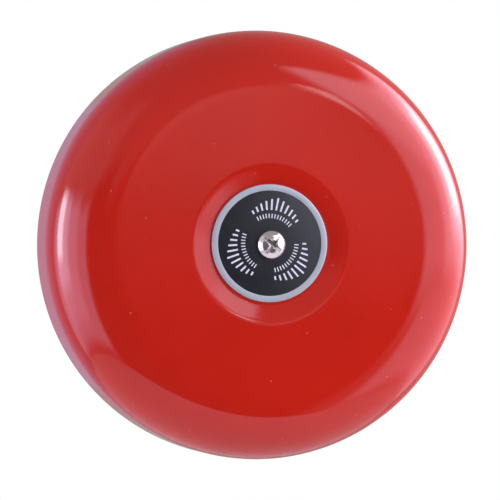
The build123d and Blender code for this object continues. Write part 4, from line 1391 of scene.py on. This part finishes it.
@dataclass
class Electrics(Assembly):
    """Circuit board with its components, solder joints and the motor's leads."""

    joint_radius: float = 1.0
    joint_height: float = 0.7
    lead_radius: float = 0.65
    diode_leg: float = 0.35
    well_radius: float = 1.8
    ways: int = 4

    def build(self) -> None:
        """Builds the solder joints where leads and component legs meet the board."""
        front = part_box("circuit_board")[0].y
        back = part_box("circuit_board")[1].y
        places = []
        for lead in ("lead_red", "lead_black"):
            low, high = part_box(lead)
            outer = high.x if high.x > 0 else low.x
            side = math.copysign(1.0, outer)
            places.append((outer - side * self.lead_radius * MM, front,
                           high.z - self.lead_radius * MM))
        diode_low, diode_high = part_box("diode")
        for x in (diode_low.x + self.diode_leg * MM, diode_high.x - self.diode_leg * MM):
            places.append((x, front, (diode_low.z + diode_high.z) / 2))
        block_low, block_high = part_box("terminal_screws")
        first = block_low.x + self.well_radius * MM
        run = block_high.x - block_low.x - 2 * self.well_radius * MM
        for way in range(self.ways):
            x = first + run * way / (self.ways - 1)
            places.append((x, back, (block_low.z + block_high.z) / 2))
        mesh = run_tree(
            domes_tree(),
            points_mesh(places),
            {
                "Radius": self.joint_radius * MM,
                "Height": self.joint_height * MM,
                "Surface": material_of(SOLDER),
            },
        )
        add_piece("solder_joints", mesh, [SOLDER], "bell_frame")

    finishes = {
        "circuit_board": SOLDER_MASK,
        "board_standoffs": TURNED_BRASS,
        "board_screws": ZINC_PLATE,
        "terminal_block": TERMINAL_GREEN,
        "terminal_screws": ZINC_PLATE,
        "diode": BLACK_EPOXY,
        "capacitor": BLACK_EPOXY,
        "suppressor": BLUE_LACQUER,
        "lead_red": RED_PVC,
        "lead_black": BLACK_PVC,
    }


# ---- Studio -------------------------------------------------------------------------------------
def direction(azimuth: float, elevation: float) -> Vector:
    """Unit vector towards a compass direction; azimuth 0 is -Y and 90 is +X.

    Args:
        azimuth: Degrees round the bell.
        elevation: Degrees above the horizon.

    Returns:
        The direction.
    """
    a, e = math.radians(azimuth), math.radians(elevation)
    return Vector((math.sin(a) * math.cos(e), -math.cos(a) * math.cos(e), math.sin(e)))


@dataclass(frozen=True)
class Panel:
    """A soft-edged part of the surroundings with its own light.

    The spans are in degrees of azimuth and elevation.  Cool is the blue light divided by the
    green.  A panel lies over the panels before it in the list.
    """

    azimuths: tuple[float, float]
    elevations: tuple[float, float]
    soft: float
    light: float
    cool: float = 1.0

    def colour(self) -> Colour:
        """The panel's light as a colour."""
        return (self.light, self.light, self.light * self.cool, 1.0)


@dataclass
class Studio:
    """Surroundings, floor and camera.  Lengths in millimetres."""

    tent: Panel = Panel((-180, 180), (-90, 90), 1.0, 0.40)
    panels: tuple[Panel, ...] = (
        Panel((-200, 200), (-95, -42), 6.0, 1.0, 1.40),
        Panel((-200, -122), (-42, 60), 12.0, 0.45, 1.40),
        Panel((-122, -38), (15, 48), 9.0, 0.70, 1.06),
        Panel((-124, -50), (-34, 12), 4.0, 1.65, 1.37),
        Panel((-114, -68), (-26, 15), 6.0, 2.5, 1.39),
        Panel((-114, -88), (-14, 15), 5.0, 4.4, 1.39),
        Panel((-113, -100), (-4, 16), 3.5, 10.5, 1.18),
        Panel((-47, -20), (-60, 18), 5.0, 0.15, 0.90),
        Panel((-30, 4), (-60, 8), 4.0, 0.15, 0.90),
        Panel((-10, 22), (-60, 0), 4.0, 0.12, 0.95),
        Panel((4, 14), (4, 12), 3.0, 0.85, 1.0),
        Panel((34, 128), (-36, -6), 6.0, 1.5, 1.18),
        Panel((25, 128), (-6, 46), 5.0, 1.9, 1.18),
        Panel((22, 126), (18, 46), 4.0, 2.7, 1.16),
        Panel((16, 21), (10, 18), 2.0, 4.5, 1.0),
        Panel((68, 124), (-4, 44), 8.0, 3.4, 1.22),
        Panel((86, 122), (4, 36), 6.0, 6.5, 1.18),
        Panel((98, 116), (9, 32), 4.0, 12.0, 1.05),
    )
    key_azimuth: float = 18.0
    key_elevation: float = 2.0
    key_distance: float = 520.0
    key_size: float = 120.0
    key_watts: float = 0.9
    floor_drop: float = 320.0
    floor_radius: float = 415.0
    floor_segments: int = 96
    azimuth: float = -11.77
    elevation: float = -0.1
    distance: float = 1075.0
    aim: Triple = (0.0, -40.0, 0.0)
    aim_right: float = -3.04
    aim_up: float = -1.79
    lens: float = 222.3

    def build(self) -> None:
        """Builds the surroundings, the floor and the camera."""
        self.build_surroundings()
        self.build_key()
        self.build_floor()
        self.build_camera()
        bpy.context.scene.view_settings.view_transform = "Standard"

    def build_surroundings(self) -> None:
        """A tent of pale and dark panels, seen in reflections; the backdrop itself is white."""
        world = bpy.data.worlds.new("light_tent")
        bpy.context.scene.world = world
        world.use_nodes = True
        tree = world.node_tree
        tree.nodes.clear()
        look = add_node(tree, "ShaderNodeTexCoord").outputs["Generated"]
        part = add_node(tree, "ShaderNodeSeparateXYZ", links={"Vector": look}).outputs
        around = calc(tree, "ARCTAN2", part["X"], calc(tree, "MULTIPLY", part["Y"], -1.0))
        above = calc(tree, "ARCSINE", part["Z"])
        colour = add_node(tree, "ShaderNodeRGB")
        colour.outputs["Color"].default_value = self.tent.colour()
        total = colour.outputs["Color"]
        for panel in self.panels:
            beside = self.within(tree, around, panel.azimuths, panel.soft)
            upright = self.within(tree, above, panel.elevations, panel.soft)
            share = calc(tree, "MULTIPLY", beside, upright)
            total = lay_over(tree, share, total, panel.colour())
        tent = add_node(tree, "ShaderNodeBackground", links={"Color": total})
        white = add_node(tree, "ShaderNodeBackground", {"Color": (1.0, 1.0, 1.0, 1.0)})
        seen = add_node(tree, "ShaderNodeLightPath").outputs["Is Camera Ray"]
        mixed = add_node(
            tree,
            "ShaderNodeMixShader",
            links={"Fac": seen, 1: tent.outputs["Background"], 2: white.outputs["Background"]},
        )
        add_node(tree, "ShaderNodeOutputWorld", links={"Surface": mixed.outputs["Shader"]})

    @staticmethod
    def within(tree: Tree, angle: Socket, span: tuple[float, float], soft: float) -> Socket:
        """1 inside a span of angles, 0 outside it, with soft ends.

        Args:
            tree: The tree that gets the nodes.
            angle: The angle in radians.
            span: The span in degrees.
            soft: Half the width of the soft ends, in degrees.

        Returns:
            The share as an output.
        """
        away = calc(
            tree, "ABSOLUTE", calc(tree, "SUBTRACT", angle, math.radians((span[0] + span[1]) / 2))
        )
        half = (span[1] - span[0]) / 2
        ends = (math.radians(half - soft), math.radians(half + soft))
        return spread(tree, away, ends, (1.0, 0.0), "SMOOTHSTEP")

    def build_key(self) -> None:
        """A near lamp in front that lights the paint without showing up in it."""
        data = bpy.data.lights.new("key", "AREA")
        data.shape = "DISK"
        data.size = self.key_size * MM
        data.energy = self.key_watts
        lamp = bpy.data.objects.new("key", data)
        towards = direction(self.key_azimuth, self.key_elevation)
        lamp.location = Vector(self.aim) * MM + towards * (self.key_distance * MM)
        lamp.rotation_mode = "QUATERNION"
        lamp.rotation_quaternion = towards.to_track_quat("Z", "Y")
        lamp.visible_glossy = False
        bpy.context.scene.collection.objects.link(lamp)

    def build_floor(self) -> None:
        """A round pale floor, well below the bell."""
        shape = bmesh.new()
        bmesh.ops.create_circle(
            shape, cap_ends=True, segments=self.floor_segments, radius=self.floor_radius * MM,
            matrix=Matrix.Translation((0.0, 0.0, -self.floor_drop * MM)),
        )
        mesh = bpy.data.meshes.new("floor")
        shape.to_mesh(mesh)
        shape.free()
        mesh.materials.append(material_of(PALE_FLOOR))
        floor = bpy.data.objects.new("floor", mesh)
        bpy.context.scene.collection.objects.link(floor)

    def build_camera(self) -> None:
        """A long lens level with the bell, a little to its left."""
        back = direction(self.azimuth, self.elevation)
        right = (-back).cross(Vector((0.0, 0.0, 1.0))).normalized()
        up = right.cross(-back)
        target = Vector(self.aim) * MM + (right * self.aim_right + up * self.aim_up) * MM
        data = bpy.data.cameras.new("camera")
        data.lens = self.lens
        data.clip_start = 0.01
        camera = bpy.data.objects.new("camera", data)
        camera.location = target + back * (self.distance * MM)
        camera.rotation_mode = "QUATERNION"
        camera.rotation_quaternion = (-back).to_track_quat("-Z", "Y")
        bpy.context.scene.collection.objects.link(camera)
        bpy.context.scene.camera = camera


def main() -> None:
    """Builds and dresses every sub-assembly, then sets up the studio."""
    logging.basicConfig(level=logging.INFO, format="%(name)s: %(message)s")
    for assembly in (Gong(), Nameplate(), Screw(), Base(), Mechanism(), Striker(), Electrics()):
        assembly.build()
        assembly.dress()
    Studio().build()


if __name__ == "__main__":
    main()
